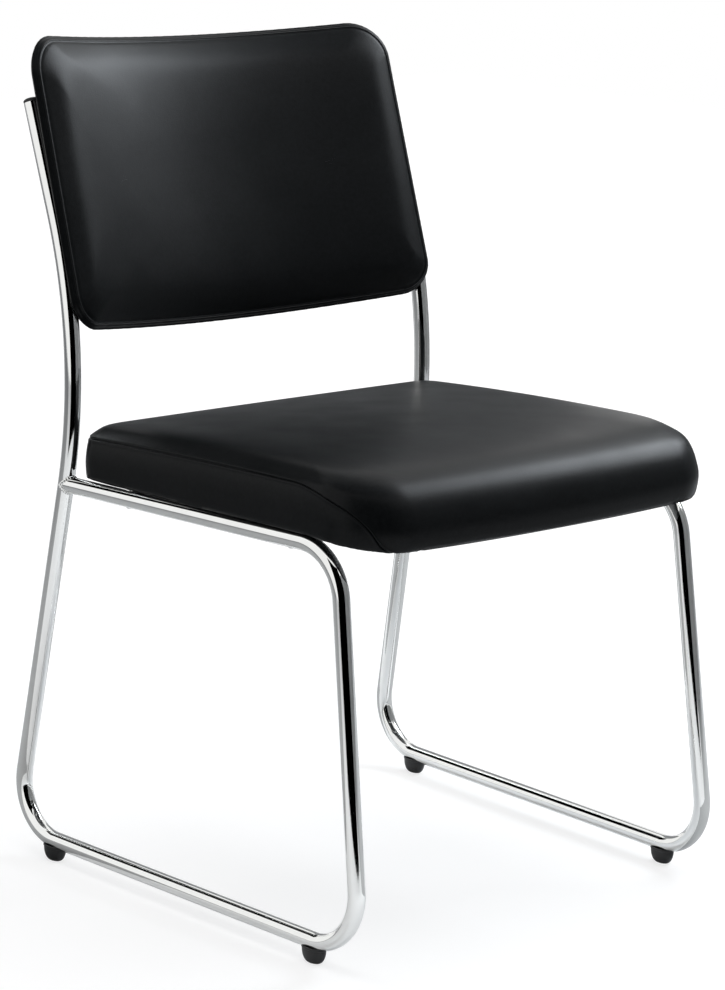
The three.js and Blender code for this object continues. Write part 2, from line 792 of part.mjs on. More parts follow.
function makeBack() {
  const back = new THREE.Group();
  back.position.set(0, backCentreY, backCentreZ);
  back.rotation.x = -backLean;
  const places = backBoltPlaces();
  const boardFront = backBoardRear - backBoardThickness;
  back.add(makeBackBoard(places), makeBackFoam(back), makeBackCover(back), makeBackPanel(places));
  for (const { label, place, sign } of places) {
    const head = backPanelRear + 2 * clearance + lugThickness;
    makeLug(back, label, place, sign);
    back.add(makeBolt(`back_bolt_${label}`, place, -head, head - boardFront - clearance));
    back.add(makeNut(`back_nut_${label}`, place, -boardFront));
  }
  return back;
}

const chair = new THREE.Group();
for (const [side, word] of [[-1, 'left'], [1, 'right']]) {
  chair.add(makeSideFrame(side, `side_frame_${word}`));
  chair.add(makePlug(side, `upright_plug_${word}`));
  chair.add(makeGlide(side, -glideReach, `glide_front_${word}`));
  chair.add(makeGlide(side, glideReach, `glide_rear_${word}`));
}
chair.add(makeSeat(), makeBack());

// The origin lies under the middle of the whole chair
const bounds = new THREE.Box3().setFromObject(chair, true);
chair.position.y = -(bounds.min.y + bounds.max.y) / 2;

export default chair;
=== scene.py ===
"""Looks of a sled base visitor chair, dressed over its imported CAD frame.

Shapes are in millimetres in the chair's own frame: +Z up, the chair faces -Y, and Y is 0 half way between
its front and rear glides. in_row turns them into the row frame's metres.
"""
import json
import math

import bmesh
import bpy
import numpy as np
from mathutils import Matrix, Vector


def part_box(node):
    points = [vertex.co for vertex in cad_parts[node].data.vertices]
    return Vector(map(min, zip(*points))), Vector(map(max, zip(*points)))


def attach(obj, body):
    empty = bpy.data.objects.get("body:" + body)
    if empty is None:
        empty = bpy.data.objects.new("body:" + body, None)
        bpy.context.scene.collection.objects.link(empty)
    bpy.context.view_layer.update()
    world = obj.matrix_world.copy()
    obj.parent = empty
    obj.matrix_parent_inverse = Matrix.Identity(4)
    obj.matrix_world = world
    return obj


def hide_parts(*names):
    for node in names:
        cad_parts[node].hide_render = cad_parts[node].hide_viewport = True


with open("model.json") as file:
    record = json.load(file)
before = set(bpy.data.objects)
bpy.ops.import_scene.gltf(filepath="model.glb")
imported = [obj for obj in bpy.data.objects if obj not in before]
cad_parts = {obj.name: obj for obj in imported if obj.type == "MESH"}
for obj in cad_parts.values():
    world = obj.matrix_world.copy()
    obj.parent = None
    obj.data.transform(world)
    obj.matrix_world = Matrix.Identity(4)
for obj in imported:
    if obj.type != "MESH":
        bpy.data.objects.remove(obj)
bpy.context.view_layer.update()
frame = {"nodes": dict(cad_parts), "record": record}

MM = 0.001

# Tube and side frames
TUBE_RADIUS = 8.5
TUBE_WALL = 1.5
TUBE_SIDES = 40
WALL_SHARE = 1 - TUBE_WALL / TUBE_RADIUS
TUBE_EDGE = 0.35
EDGE_DEPTH = 0.4
MOUTH_DEPTH = 12
RAIL_END_DEPTH = 16
CROSS_END_DEPTH = 20
COPE_MARGIN = 6
COPE_BLEND = 1
CROSS_COPE_BLEND = 0.014
BEND_RADIUS = 55
BEND_STEPS = 28
GLIDE_HEIGHT = 13
FLOOR_RAIL_LENGTH = 513
FLOOR_RAIL_HALF_WIDTH = 243.4
FRAME_TOE = math.radians(1.56)
FRAME_TILT = math.radians(1.65)
FRONT_LEG_LEAN = math.radians(8.66)
REAR_LEG_LEAN = math.radians(8.88)
UPRIGHT_LEAN = math.radians(21.8)
SEAT_RAIL_FRONT_Z = 403
SEAT_PITCH = math.radians(1.2)
KINK_RISE = 127
KINK_RADIUS = 520
KINK_STEPS = 24
UPRIGHT_RISE = 242
FRONT_CROSS_SETBACK = 66.4
REAR_CROSS_SETBACK = 95.7
BEAD_RADIUS = 1.7
BEAD_RIPPLE = 0.3
BEAD_PITCH = 2.4
BEAD_SIDES = 12
BEAD_POINTS = 4
BEAD_TAPER_POINTS = 4

# Glides and plugs
GLIDE_LENGTH = 30
GLIDE_WIDTH = 19
GLIDE_LIP = 3.5
GLIDE_SETBACK = 7.5
GLIDE_SIDES = 64
PLUG_RIM = 1.6
PLUG_DOME = 4.5
PLUG_DEPTH = 14
PLUG_SLACK = 0.35

# Bolts
TURNED_SIDES = 48
BOLT_RADIUS = 3
BOLT_HEAD_RADIUS = 5.6
BOLT_HEAD_HEIGHT = 3.4
SOCKET_RADIUS = 2.2
SEAT_BOLT_LENGTH = 30
BACK_BOLT_LENGTH = 16

# Seat
SEAT_OVERHANG = 0.6
SEAT_FRONT_OVERHANG = 59
SEAT_REAR_GAP = 9.1
SEAT_FRONT_RADIUS = 60
SEAT_REAR_RADIUS = 28
SEAT_FRONT_BOW = 10
SEAT_REAR_BOW = 3
SEAT_CROWN = 67
SEAT_REACHES = (160, 190, 125)
SEAT_PEAK_SETBACK = 145
SEAT_REAR_DROP_SHARE = 0.15
SEAT_FRONT_DROP = 12
SEAT_DROP_LENGTH = 110
DUST_COVER_INSET = 18
DUST_COVER_GAP = 0.3
DUST_COVER_THICKNESS = 0.8
DUST_COVER_RINGS = 26
DUST_COVER_REACH = 165
DUST_COVER_SINK = 0.35
DUST_COVER_SKIN = 0.3
HEM_WIDTH = 9
HEM_DEPTH = 0.45
PULL_DEPTH = 0.14
PULL_PITCH = 42
STAPLE_INSET = 4
STAPLE_PITCH = 38
STAPLE_DEPTH = 0.25
STAPLE_SIDES = 6
STAPLE_WIRE = (0.35, 0.3)
STAPLE_SHAPE = ((-5.2, 0.9), (-5, 0.25), (-4.4, 0), (4.4, 0), (5, 0.25), (5.2, 0.9))
SEAT_BOLT_SET_IN = 93.4
SEAT_SEAM_SHARE = 0.69
SEAT_SEAM_DIVE_FROM = 113
SEAT_SEAM_DIVE_LENGTH = 93
SEAT_SEAM_DIVE = ((0.25, 1.3), (0.75, 8))
SEAT_SEAM_LAST_ROW = 14
SEAT_RINGS = (22, 44)

# Back
BACK_LEAN = math.radians(17.9)
BACK_BEHIND_UPRIGHTS = 37.4
BACK_BELOW_TOP = 90
BACK_OVERHANG = 0.6
BACK_HALF_HEIGHT = 151.5
BACK_BOTTOM_RADIUS = 34
BACK_TOP_RADIUS = 42
BACK_BOTTOM_BOW = 2.4
BACK_TOP_BOW = 2
BACK_TAPER = 1.8
BACK_SAG = 50
BACK_RIM_DEPTH = 8
BACK_CROWN = 20
BACK_REACH = 110
BACK_PANEL_INSET = 19
BACK_PANEL_THICKNESS = 2
BACK_BOLT_SET_IN = 38
BACK_BOLT_Z = 50
BACK_SEAM_SHARE = 0.2
BACK_SEAM_BAND = 7.4
BACK_SECOND_SEAM_DEPTH = 0.8
BACK_RINGS = (16, 44)
GROOVE_GIVE = 0.02
LUG_THICKNESS = 3
LUG_HEIGHT = 34
LUG_INNER_END = 17
LUG_CORNER_RADIUS = 7
LUG_WELD_OVERLAP = 0.9
LUG_BEAD_RADIUS = 1.5
CLEARANCE = 0.3

# Outlines and seams
OUTLINE_STEPS = (40, 84, 26)
SHEET_STEPS = (30, 60, 12)
LEAST_CORNER_RADIUS = 10
MOST_CORNER_SHARE = 0.97
SEAM_STEPS = (0.45, 0.9, 1.4, 2, 2.8, 3.8, 5.2, 7)
SECOND_SEAM_STEPS = (0.45, 0.9, 1.4, 2, 2.7, 3.5, 4.3, 5.1, 5.8, 6.4, 6.9, 7.4, 7.9, 8.4, 9, 9.7, 10.6,
                     12, 14)
SEAM_ROOM = 1.5
CROWN_RINGS = 40
CROWN_SPREAD = 1.25
SEAM_DEPTH = 0.9
SEAM_WIDTH = 0.75
SWELL_HEIGHT = 0.35
SWELL_PLACE = 2.2
SWELL_WIDTH = 1.2
PUCKER_HEIGHT = 0.09
PUCKER_PITCH = 7.5
PUCKER_REACH = 4
PUCKER_DRIFT = (1.6, 23)

# Worked out from the sizes above
RAIL_CENTRE_Z = GLIDE_HEIGHT + TUBE_RADIUS
RAIL_FRONT_Y = -FLOOR_RAIL_LENGTH / 2
RAIL_REAR_Y = FLOOR_RAIL_LENGTH / 2
GLIDE_REACH = RAIL_REAR_Y - BEND_RADIUS - GLIDE_SETBACK
SEAT_RAIL_FRONT_Y = RAIL_FRONT_Y + math.tan(FRONT_LEG_LEAN) * (SEAT_RAIL_FRONT_Z - RAIL_CENTRE_Z)
KINK_Z = SEAT_RAIL_FRONT_Z + KINK_RISE
KINK_Y = RAIL_REAR_Y - math.tan(REAR_LEG_LEAN) * (KINK_Z - RAIL_CENTRE_Z)
UPRIGHT_TOP_Z = KINK_Z + UPRIGHT_RISE
UPRIGHT_TOP_Y = KINK_Y + math.tan(UPRIGHT_LEAN) * UPRIGHT_RISE
SEAT_SLOPE = math.tan(SEAT_PITCH)
SEAT_PLANE_Z = SEAT_RAIL_FRONT_Z + SEAT_SLOPE * SEAT_RAIL_FRONT_Y
WELD_Y = (RAIL_REAR_Y - math.tan(REAR_LEG_LEAN) * (SEAT_PLANE_Z - RAIL_CENTRE_Z)) / (
    1 - SEAT_SLOPE * math.tan(REAR_LEG_LEAN))
FRONT_CROSS_Y = SEAT_RAIL_FRONT_Y + FRONT_CROSS_SETBACK
REAR_CROSS_Y = WELD_Y - REAR_CROSS_SETBACK
SEAT_FRONT_Y = SEAT_RAIL_FRONT_Y - SEAT_FRONT_OVERHANG
SEAT_REAR_Y = WELD_Y - SEAT_REAR_GAP
SEAT_BOLT_X = FLOOR_RAIL_HALF_WIDTH - SEAT_BOLT_SET_IN
SEAT_HALF_WIDTH = FLOOR_RAIL_HALF_WIDTH + SEAT_OVERHANG
DUST_COVER_Z = TUBE_RADIUS + DUST_COVER_GAP
CUSHION_Z = DUST_COVER_Z + DUST_COVER_THICKNESS + 2 * CLEARANCE
BACK_CENTRE_Z = UPRIGHT_TOP_Z - BACK_BELOW_TOP
BACK_CENTRE_Y = UPRIGHT_TOP_Y - math.tan(UPRIGHT_LEAN) * BACK_BELOW_TOP + BACK_BEHIND_UPRIGHTS
BACK_HALF_WIDTH = FLOOR_RAIL_HALF_WIDTH + BACK_OVERHANG
BACK_BOLT_X = BACK_HALF_WIDTH - BACK_BOLT_SET_IN
BACK_PANEL_REAR = BACK_RIM_DEPTH + CLEARANCE + BACK_PANEL_THICKNESS

# The seat cushion's section: shares of its reach inwards from the sides, front and rear, and of its crown
SEAT_SECTION = (
    (0.25, 0.21, 0.32, 0), (0.06, 0.07, 0.1, -0.004), (0.012, 0.04, 0.035, -0.018),
    (0.002, 0.022, 0.014, 0), (0, 0.012, 0.008, 0.07), (0, 0, 0, 0.26),
    (0.006, 0.024, 0.008, 0.48), (0.025, 0.084, 0.032, 0.7), (0.07, 0.168, 0.085, 0.81),
    (0.122, 0.284, 0.15, 0.895), (0.19, 0.432, 0.24, 0.938), (0.31, 0.605, 0.39, 0.965),
    (0.58, 0.8, 0.66, 0.985), (1, 1, 1, 1),
)

# The back cushion's section: shares of its reach inwards, and of its depth from the rear rim to the crown
BACK_SECTION = (
    (0.26, 0), (0.055, 0), (0.012, 0.07), (0, 0.2), (0.014, 0.3), (0.047, 0.41), (0.095, 0.52),
    (0.15, 0.63), (0.207, 0.735), (0.265, 0.82), (0.335, 0.885), (0.43, 0.93), (0.57, 0.965), (0.78, 0.99),
    (1, 1),
)


def chair_origin():
    """The row frame's Y of the chair's own middle, half way between its front and rear glides."""
    middles = []
    for name in ("glide_front_left", "glide_rear_left"):
        low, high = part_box(name)
        middles.append((low[1] + high[1]) / 2)
    return sum(middles) / len(middles)


ORIGIN_Y = chair_origin()


def in_row(points):
    """Points in the chair's own millimetres, as the row frame's metres."""
    return np.asarray(points, float).reshape(-1, 3) * MM + np.array([0, ORIGIN_Y, 0])


def leaned(points, lean, y, z):
    """Points of a frame that leans back about the place Y and Z, in the chair's frame."""
    p = np.asarray(points, float)
    cos, sin = math.cos(lean), math.sin(lean)
    return np.stack([p[..., 0], y + p[..., 1] * cos + p[..., 2] * sin,
                     z + p[..., 2] * cos - p[..., 1] * sin], -1)


def from_seat(points):
    """Points in the pitched seat's frame, in the chair's frame."""
    return leaned(points, SEAT_PITCH, 0, SEAT_PLANE_Z)


def from_back(points):
    """Points in the leaning back's frame (X, depth rearwards, height), in the chair's frame."""
    return leaned(points, BACK_LEAN, BACK_CENTRE_Y, BACK_CENTRE_Z)


def unit(vector):
    return np.asarray(vector, float) / np.linalg.norm(vector)


def smoothstep(low, high, value):
    share = np.clip((value - low) / (high - low), 0, 1)
    return share * share * (3 - 2 * share)


def ring_run(ring):
    """Each point's distance along a ring from its first point."""
    steps = np.linalg.norm(np.diff(ring, axis=0), axis=1)
    return np.concatenate([[0], np.cumsum(steps)])


def add_mesh(name, points, faces, material):
    mesh = bpy.data.meshes.new(name)
    mesh.from_pydata(points, [], faces)
    mesh.materials.append(material)
    made = bpy.data.objects.new(name, mesh)
    bpy.context.collection.objects.link(made)
    return made


class Form:
    """Rings and patches that are gathered into one mesh."""

    def __init__(self):
        self.points = []
        self.faces = []
        self.count = 0

    def add(self, points, faces):
        points = np.asarray(points, float).reshape(-1, 3)
        self.points.append(points)
        self.faces.extend(tuple(self.count + i for i in face) for face in faces)
        self.count += len(points)
        return self

    def skin(self, rings, along=False, start=False, end=False):
        """Quads over closed rings. start and end close it with flat faces, along joins last ring to first."""
        rings = np.asarray(rings, float)
        rows, columns = rings.shape[:2]
        faces = []
        for row in range(rows if along else rows - 1):
            below = row * columns
            above = (row + 1) % rows * columns
            for i in range(columns):
                j = (i + 1) % columns
                faces.append((below + i, below + j, above + j, above + i))
        if start:
            faces.append(tuple(range(columns))[::-1])
        if end:
            faces.append(tuple((rows - 1) * columns + i for i in range(columns)))
        return self.add(rings, faces)

    def piece(self, name, material, slot, *nodes, smooth_angle=40):
        made = add_mesh(name, in_row(np.concatenate(self.points)).tolist(), self.faces, material)
        mesh = made.data
        work = bmesh.new()
        work.from_mesh(mesh)
        bmesh.ops.remove_doubles(work, verts=work.verts, dist=2e-6)
        bmesh.ops.recalc_face_normals(work, faces=work.faces)
        work.to_mesh(mesh)
        work.free()
        mesh.polygons.foreach_set("use_smooth", [True] * len(mesh.polygons))
        mesh.set_sharp_from_angle(angle=math.radians(smooth_angle))
        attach(made, "root")
        if nodes:
            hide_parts(*nodes)
        return made


# Materials

def new_material(name, colour, roughness, metallic=0):
    material = bpy.data.materials.new(name)
    material.use_nodes = True
    shader = material.node_tree.nodes["Principled BSDF"]
    shader.inputs["Base Color"].default_value = (*colour, 1)
    shader.inputs["Roughness"].default_value = roughness
    shader.inputs["Metallic"].default_value = metallic
    return material, material.node_tree, shader


def node(tree, kind, **values):
    made = tree.nodes.new(kind)
    for key, value in values.items():
        if key in made.inputs:
            made.inputs[key].default_value = value
        else:
            setattr(made, key, value)
    return made


def texture(tree, kind, scale, stretch=(1, 1, 1), **values):
    """A texture in the object's own coordinates, with its scale in features to the metre."""
    mapping = node(tree, "ShaderNodeMapping", Scale=stretch)
    made = node(tree, kind, Scale=scale, **values)
    tree.links.new(node(tree, "ShaderNodeTexCoord").outputs["Object"], mapping.inputs["Vector"])
    tree.links.new(mapping.outputs["Vector"], made.inputs["Vector"])
    return made


def noise(tree, scale, stretch=(1, 1, 1), **values):
    return texture(tree, "ShaderNodeTexNoise", scale, stretch, **values).outputs["Fac"]


def cells(tree, scale, output="Distance", **values):
    return texture(tree, "ShaderNodeTexVoronoi", scale, **values).outputs[output]


def spread(tree, source, low, high, from_low=0.3, from_high=0.7):
    made = node(tree, "ShaderNodeMapRange")
    for key, value in zip(("From Min", "From Max", "To Min", "To Max"), (from_low, from_high, low, high)):
        made.inputs[key].default_value = value
    tree.links.new(source, made.inputs["Value"])
    return made.outputs["Result"]


def colour_ramp(tree, source, *stops):
    """A colour by the source's value, from two stops of position and colour."""
    ramp = node(tree, "ShaderNodeValToRGB")
    for element, (position, colour) in zip(ramp.color_ramp.elements, stops):
        element.position = position
        element.color = (*colour, 1)
    tree.links.new(source, ramp.inputs["Fac"])
    return ramp.outputs["Color"]


def shade(colour, share):
    return tuple(c * share for c in colour)


def tint(tree, shader, source, first, second):
    tree.links.new(colour_ramp(tree, source, (0.3, first), (0.7, second)), shader.inputs["Base Color"])


def mottle(tree, shader, source, low, high):
    tree.links.new(spread(tree, source, low, high), shader.inputs["Roughness"])


def bump(tree, shader, layers):
    """Stacks bumps: each layer is a height, its strength and its depth in metres."""
    last = None
    for height, strength, depth in layers:
        made = node(tree, "ShaderNodeBump", Strength=strength, Distance=depth)
        tree.links.new(height, made.inputs["Height"])
        if last:
            tree.links.new(last.outputs["Normal"], made.inputs["Normal"])
        last = made
    tree.links.new(last.outputs["Normal"], shader.inputs["Normal"])


def make_leatherette(name, colour, roughness):
    material, tree, shader = new_material(name, colour, roughness)
    shader.inputs["Specular IOR Level"].default_value = 0.1
    grain = cells(tree, 850, feature="SMOOTH_F1", Smoothness=0.6, Randomness=0.9)
    creases = noise(tree, 240, Detail=4, Roughness=0.55)
    pull = noise(tree, 14, Detail=2)
    tint(tree, shader, creases, shade(colour, 0.8), shade(colour, 1.25))
    mottle(tree, shader, pull, roughness - 0.03, roughness + 0.04)
    bump(tree, shader, [(pull, 0.25, 0.0012), (creases, 0.3, 0.00012), (grain, 0.35, 0.00016)])
    return material


def make_chrome():
    material, tree, shader = new_material("bright_chrome", (0.86, 0.865, 0.85), 0.05, 1)
    haze = noise(tree, 30, Detail=3)
    fine = noise(tree, 900, Detail=2)
    tint(tree, shader, haze, (0.84, 0.845, 0.83), (0.88, 0.885, 0.87))
    mottle(tree, shader, haze, 0.035, 0.075)
    bump(tree, shader, [(fine, 0.04, 0.00004)])
    return material


def make_zinc():
    material, tree, shader = new_material("zinc_plate", (0.55, 0.57, 0.59), 0.33, 1)
    spangle = cells(tree, 700, "Color")
    fine = noise(tree, 1500, Detail=3)
    tint(tree, shader, spangle, (0.48, 0.5, 0.52), (0.62, 0.64, 0.65))
    mottle(tree, shader, fine, 0.26, 0.42)
    bump(tree, shader, [(fine, 0.15, 0.00006)])
    return material


def make_plastic(name, colour, roughness):
    material, tree, shader = new_material(name, colour, roughness)
    sparks = cells(tree, 1400)
    cloud = noise(tree, 90, Detail=3)
    tint(tree, shader, cloud, shade(colour, 0.85), shade(colour, 1.2))
    mottle(tree, shader, cloud, roughness - 0.06, roughness + 0.08)
    bump(tree, shader, [(sparks, 0.25, 0.00008)])
    return material


def make_plywood():
    material, tree, shader = new_material("birch_plywood", (0.45, 0.28, 0.12), 0.72)
    grain = noise(tree, 60, stretch=(14, 0.8, 14), Detail=5, Distortion=0.6)
    fibre = noise(tree, 400, stretch=(5, 0.5, 5), Detail=3)
    tint(tree, shader, grain, (0.36, 0.2, 0.085), (0.56, 0.38, 0.2))
    bump(tree, shader, [(fibre, 0.3, 0.0002)])
    return material


def make_cloth():
    material, tree, shader = new_material("dust_cloth", (0.012, 0.012, 0.013), 0.93)
    shader.inputs["Sheen Weight"].default_value = 0.25
    shader.inputs["Sheen Roughness"].default_value = 0.6
    fibres = noise(tree, 500, stretch=(1, 6, 1), Detail=6, Roughness=0.7)
    cross = noise(tree, 500, stretch=(6, 1, 1), Detail=6, Roughness=0.7)
    dimples = cells(tree, 550, Randomness=0.15)
    tint(tree, shader, fibres, (0.008, 0.008, 0.009), (0.022, 0.022, 0.023))
    bump(tree, shader, [(dimples, 0.5, 0.0002), (cross, 0.4, 0.0001), (fibres, 0.4, 0.0001)])
    return material


LEATHERETTE = make_leatherette("black_leatherette", (0.0045, 0.0051, 0.0055), 0.33)
LEATHERETTE_REAR = make_leatherette("black_leatherette_rear", (0.005, 0.0054, 0.0058), 0.46)
CHROME = make_chrome()
ZINC = make_zinc()
BLACK_PLASTIC = make_plastic("black_plastic", (0.011, 0.0115, 0.012), 0.42)
PLYWOOD = make_plywood()
CLOTH = make_cloth()

# No foam shows. Its slot is only looked up, and the cloth stands in for it.
SLOTS = {
    "chrome_tube": CHROME, "black_leatherette": LEATHERETTE, "pale_foam": CLOTH, "plywood": PLYWOOD,
    "zinc_steel": ZINC, "black_plastic": BLACK_PLASTIC, "black_cloth": CLOTH,
}


# Side frames

def on_frame(side, y, z):
    """The place on a side frame's tilted and toed plane that is seen at Y and Z from the side."""
    toe = math.tan(FRAME_TOE) * (y - RAIL_FRONT_Y)
    tilt = math.tan(FRAME_TILT) * (z - RAIL_CENTRE_Z)
    return np.array([side * (FLOOR_RAIL_HALF_WIDTH + toe - tilt), y, z])


def on_seat_rail(side, y):
    return on_frame(side, y, SEAT_PLANE_Z - SEAT_SLOPE * y)


def bent_path(corners, bends):
    """Points and tangents along straight runs, with a round bend at each inner corner."""
    directions = [unit(b - a) for a, b in zip(corners, corners[1:])]
    path = [(corners[0], directions[0])]
    for i, (radius, steps) in enumerate(bends):
        along, onward = directions[i], directions[i + 1]
        turn = math.acos(np.clip(along @ onward, -1, 1))
        inward = unit(onward - along * math.cos(turn))
        start = corners[i + 1] - along * radius * math.tan(turn / 2)
        for step in range(steps + 1):
            angle = turn * step / steps
            point = start + along * radius * math.sin(angle) + inward * radius * (1 - math.cos(angle))
            path.append((point, along * math.cos(angle) + inward * math.sin(angle)))
    path.append((corners[-1], directions[-1]))
    return path


def circle(sides):
    return np.arange(sides) * 2 * math.pi / sides


def tube_ring(point, tangent, normal, radius):
    second = np.cross(normal, tangent)
    angles = circle(TUBE_SIDES)[:, None]
    return point + radius * (np.cos(angles) * normal + np.sin(angles) * second)


def finer(ring):
    """A closed ring's points with more between each and the next, close enough for a bead's ripples."""
    shares = np.arange(BEAD_POINTS)[:, None] / BEAD_POINTS
    return np.concatenate([a + shares * (b - a) for a, b in zip(ring, np.roll(ring, -1, 0))])


def bead(form, loop, outward, radius=BEAD_RADIUS, closed=True):
    """A weld bead with the ripples of its laying, along a line of points with their outward directions."""
    loop = np.asarray(loop, float)
    after = np.roll(loop, -1, 0) if closed else np.vstack([loop[1:], 2 * loop[-1] - loop[-2]])
    before = np.roll(loop, 1, 0) if closed else np.vstack([2 * loop[0] - loop[1], loop[:-1]])
    run = ring_run(loop)
    angles = circle(BEAD_SIDES)[:, None]
    rings = []
    for i, point in enumerate(loop):
        along = unit(after[i] - before[i])
        side = unit(np.cross(along, outward[i]))
        top = np.cross(side, along)
        swell = radius + BEAD_RIPPLE * math.cos(2 * math.pi * run[i] / BEAD_PITCH)
        if not closed:
            swell *= math.sqrt(max(0.05, min(1, min(i, len(loop) - 1 - i) / BEAD_TAPER_POINTS)))
        rings.append(point + swell * (np.cos(angles) * side + np.sin(angles) * top))
    form.skin(rings, along=closed, start=not closed, end=not closed)


def frame_path(side):
    corners = [on_frame(side, y, z) for y, z in (
        (UPRIGHT_TOP_Y, UPRIGHT_TOP_Z), (KINK_Y, KINK_Z), (RAIL_REAR_Y, RAIL_CENTRE_Z),
        (RAIL_FRONT_Y, RAIL_CENTRE_Z), (SEAT_RAIL_FRONT_Y, SEAT_RAIL_FRONT_Z))]
    corners.append(on_seat_rail(side, WELD_Y))
    bend = (BEND_RADIUS, BEND_STEPS)
    return bent_path(corners, [(KINK_RADIUS, KINK_STEPS), bend, bend, bend])


def make_side_frame(side, word):
    path = frame_path(side)
    normal = unit([1, -side * math.tan(FRAME_TOE), side * math.tan(FRAME_TILT)])
    inner = TUBE_RADIUS - TUBE_WALL
    top, down = path[0]
    mouth = [(MOUTH_DEPTH, inner), (EDGE_DEPTH, inner), (0, inner + TUBE_EDGE),
             (0, TUBE_RADIUS - TUBE_EDGE), (TUBE_EDGE, TUBE_RADIUS)]
    rings = [tube_ring(top + down * depth, down, normal, radius) for depth, radius in mouth]
    rings += [tube_ring(point, tangent, normal, TUBE_RADIUS) for point, tangent in path[1:-1]]
    # The rail ends in a cope that fits against the leg
    weld, along = path[-1]
    leg = unit(on_frame(side, KINK_Y, KINK_Z) - on_frame(side, RAIL_REAR_Y, RAIL_CENTRE_Z))
    second = np.cross(normal, along)
    sines = np.sin(circle(TUBE_SIDES)) * TUBE_RADIUS * (second @ leg)
    lean = along @ leg
    cope = np.maximum(sines / (1 + lean), -sines / (1 - lean))
    cope = np.sqrt(cope ** 2 + COPE_BLEND)[:, None]
    full = tube_ring(weld, along, normal, TUBE_RADIUS)
    coped = full - along * cope
    hollow = tube_ring(weld, along, normal, inner)
    rings += [coped - along * COPE_MARGIN, coped, hollow - along * (cope + EDGE_DEPTH),
              hollow - along * RAIL_END_DEPTH]
    form = Form().skin(rings, start=True, end=True)
    outward = np.array([unit(p - weld - along * ((p - weld) @ along)) for p in full])
    bead(form, finer(coped), finer(outward))
    form.piece(f"side_frame_tube_{word}", CHROME, "chrome_tube", f"side_frame_{word}")


def turned(profile, place, sides=TURNED_SIDES, squash=1):
    """A profile of (radius, height) pairs turned about a place's Z axis. A radius may differ by angle."""
    angles = circle(sides)
    rings = [place(np.stack([radius * squash * np.cos(angles), radius * np.sin(angles),
                             np.full(sides, float(height))], -1)) for radius, height in profile]
    return Form().skin(rings, start=True, end=True)


def frame_place(origin, axis, first):
    """Places points of a local frame whose Z lies along the axis, with X as near first as it can be."""
    z = unit(axis)
    x = unit(np.asarray(first) - z * (np.asarray(first) @ z))
    basis = np.stack([x, np.cross(z, x), z])
    return lambda points: np.asarray(origin) + points @ basis


def arc(radius_from, height_from, radius_to, height_to, steps):
    """A quarter of an ellipse from upright at its start to level at its end."""
    angles = np.linspace(0, math.pi / 2, steps + 1)
    return [(radius_to + (radius_from - radius_to) * math.cos(a),
             height_from + (height_to - height_from) * math.sin(a)) for a in angles]


def make_plug(side, word):
    top, down = frame_path(side)[0]
    place = frame_place(top, -down, (1, 0, 0))
    stem = TUBE_RADIUS - TUBE_WALL - PLUG_SLACK
    profile = [(stem - 1, -PLUG_DEPTH), (stem, 1 - PLUG_DEPTH), (stem, CLEARANCE),
               (TUBE_RADIUS - 0.3, CLEARANCE), (TUBE_RADIUS, CLEARANCE + 0.3), (TUBE_RADIUS, PLUG_RIM - 0.2)]
    profile += arc(TUBE_RADIUS, PLUG_RIM, 0.15, PLUG_DOME, 12)
    turned(profile, place).piece(f"upright_cap_{word}", BLACK_PLASTIC, "black_plastic",
                                 f"upright_plug_{word}")


def make_glide(side, end, sign, word):
    """A moulded foot: a long bowl with a thin lip, a groove under it and a slightly hollow sole."""
    base = on_frame(side, sign * GLIDE_REACH, RAIL_CENTRE_Z)
    along = (side * math.tan(FRAME_TOE), 1, 0)
    place = frame_place((base[0], base[1], 0), (0, 0, 1), np.cross(along, (0, 0, 1)))
    height = GLIDE_HEIGHT + GLIDE_LIP
    half = GLIDE_LENGTH / 2
    profile = [(0.3, 0.5), (0.24 * half, 0.5), (0.28 * half, 0.1), (0.33 * half, 0), (0.4 * half, 0)]
    profile += [(half * (0.4 + 0.55 * math.sin(a)), (height - 3) * (1 - math.cos(a)) * 0.98)
                for a in np.linspace(0.12, math.pi / 2, 14)]
    profile += [(half * 0.945, height - 2.6), (half * 0.965, height - 2.3), (half * 0.995, height - 2.1),
                (half, height - 1.8), (half, height - 0.5), (half * 0.985, height), (half * 0.86, height),
                (half * 0.84, height - 0.5), (half * 0.8, height - 4), (0.3, height - 5)]
    form = turned(profile, place, sides=GLIDE_SIDES, squash=GLIDE_WIDTH / GLIDE_LENGTH)
    form.piece(f"glide_bowl_{end}_{word}", BLACK_PLASTIC, "black_plastic", f"glide_{end}_{word}")


def button_head(place, under, length):
    """A button head bolt: its head hangs below Z under, with a hex socket, and its shank rises from it."""
    wedge = math.pi / 3
    hexagon = SOCKET_RADIUS / np.cos((circle(TURNED_SIDES) + wedge / 2) % wedge - wedge / 2)
    head = BOLT_HEAD_RADIUS
    low = under - BOLT_HEAD_HEIGHT
    tip = under + length
    return turned([
        (0.05, low + 2.3), (hexagon * 0.72, low + 2), (hexagon, low + 1.9), (hexagon, low + 0.2),
        (SOCKET_RADIUS * 1.22, low), (SOCKET_RADIUS * 1.5, low), (head - 1.5, low + 0.35),
        (head - 0.7, low + 0.9), (head - 0.2, low + 1.7), (head, low + 2.5), (head, under - 0.15),
        (head - 0.15, under), (BOLT_RADIUS, under), (BOLT_RADIUS, tip - 0.8), (BOLT_RADIUS - 0.7, tip),
        (0.05, tip),
    ], place)


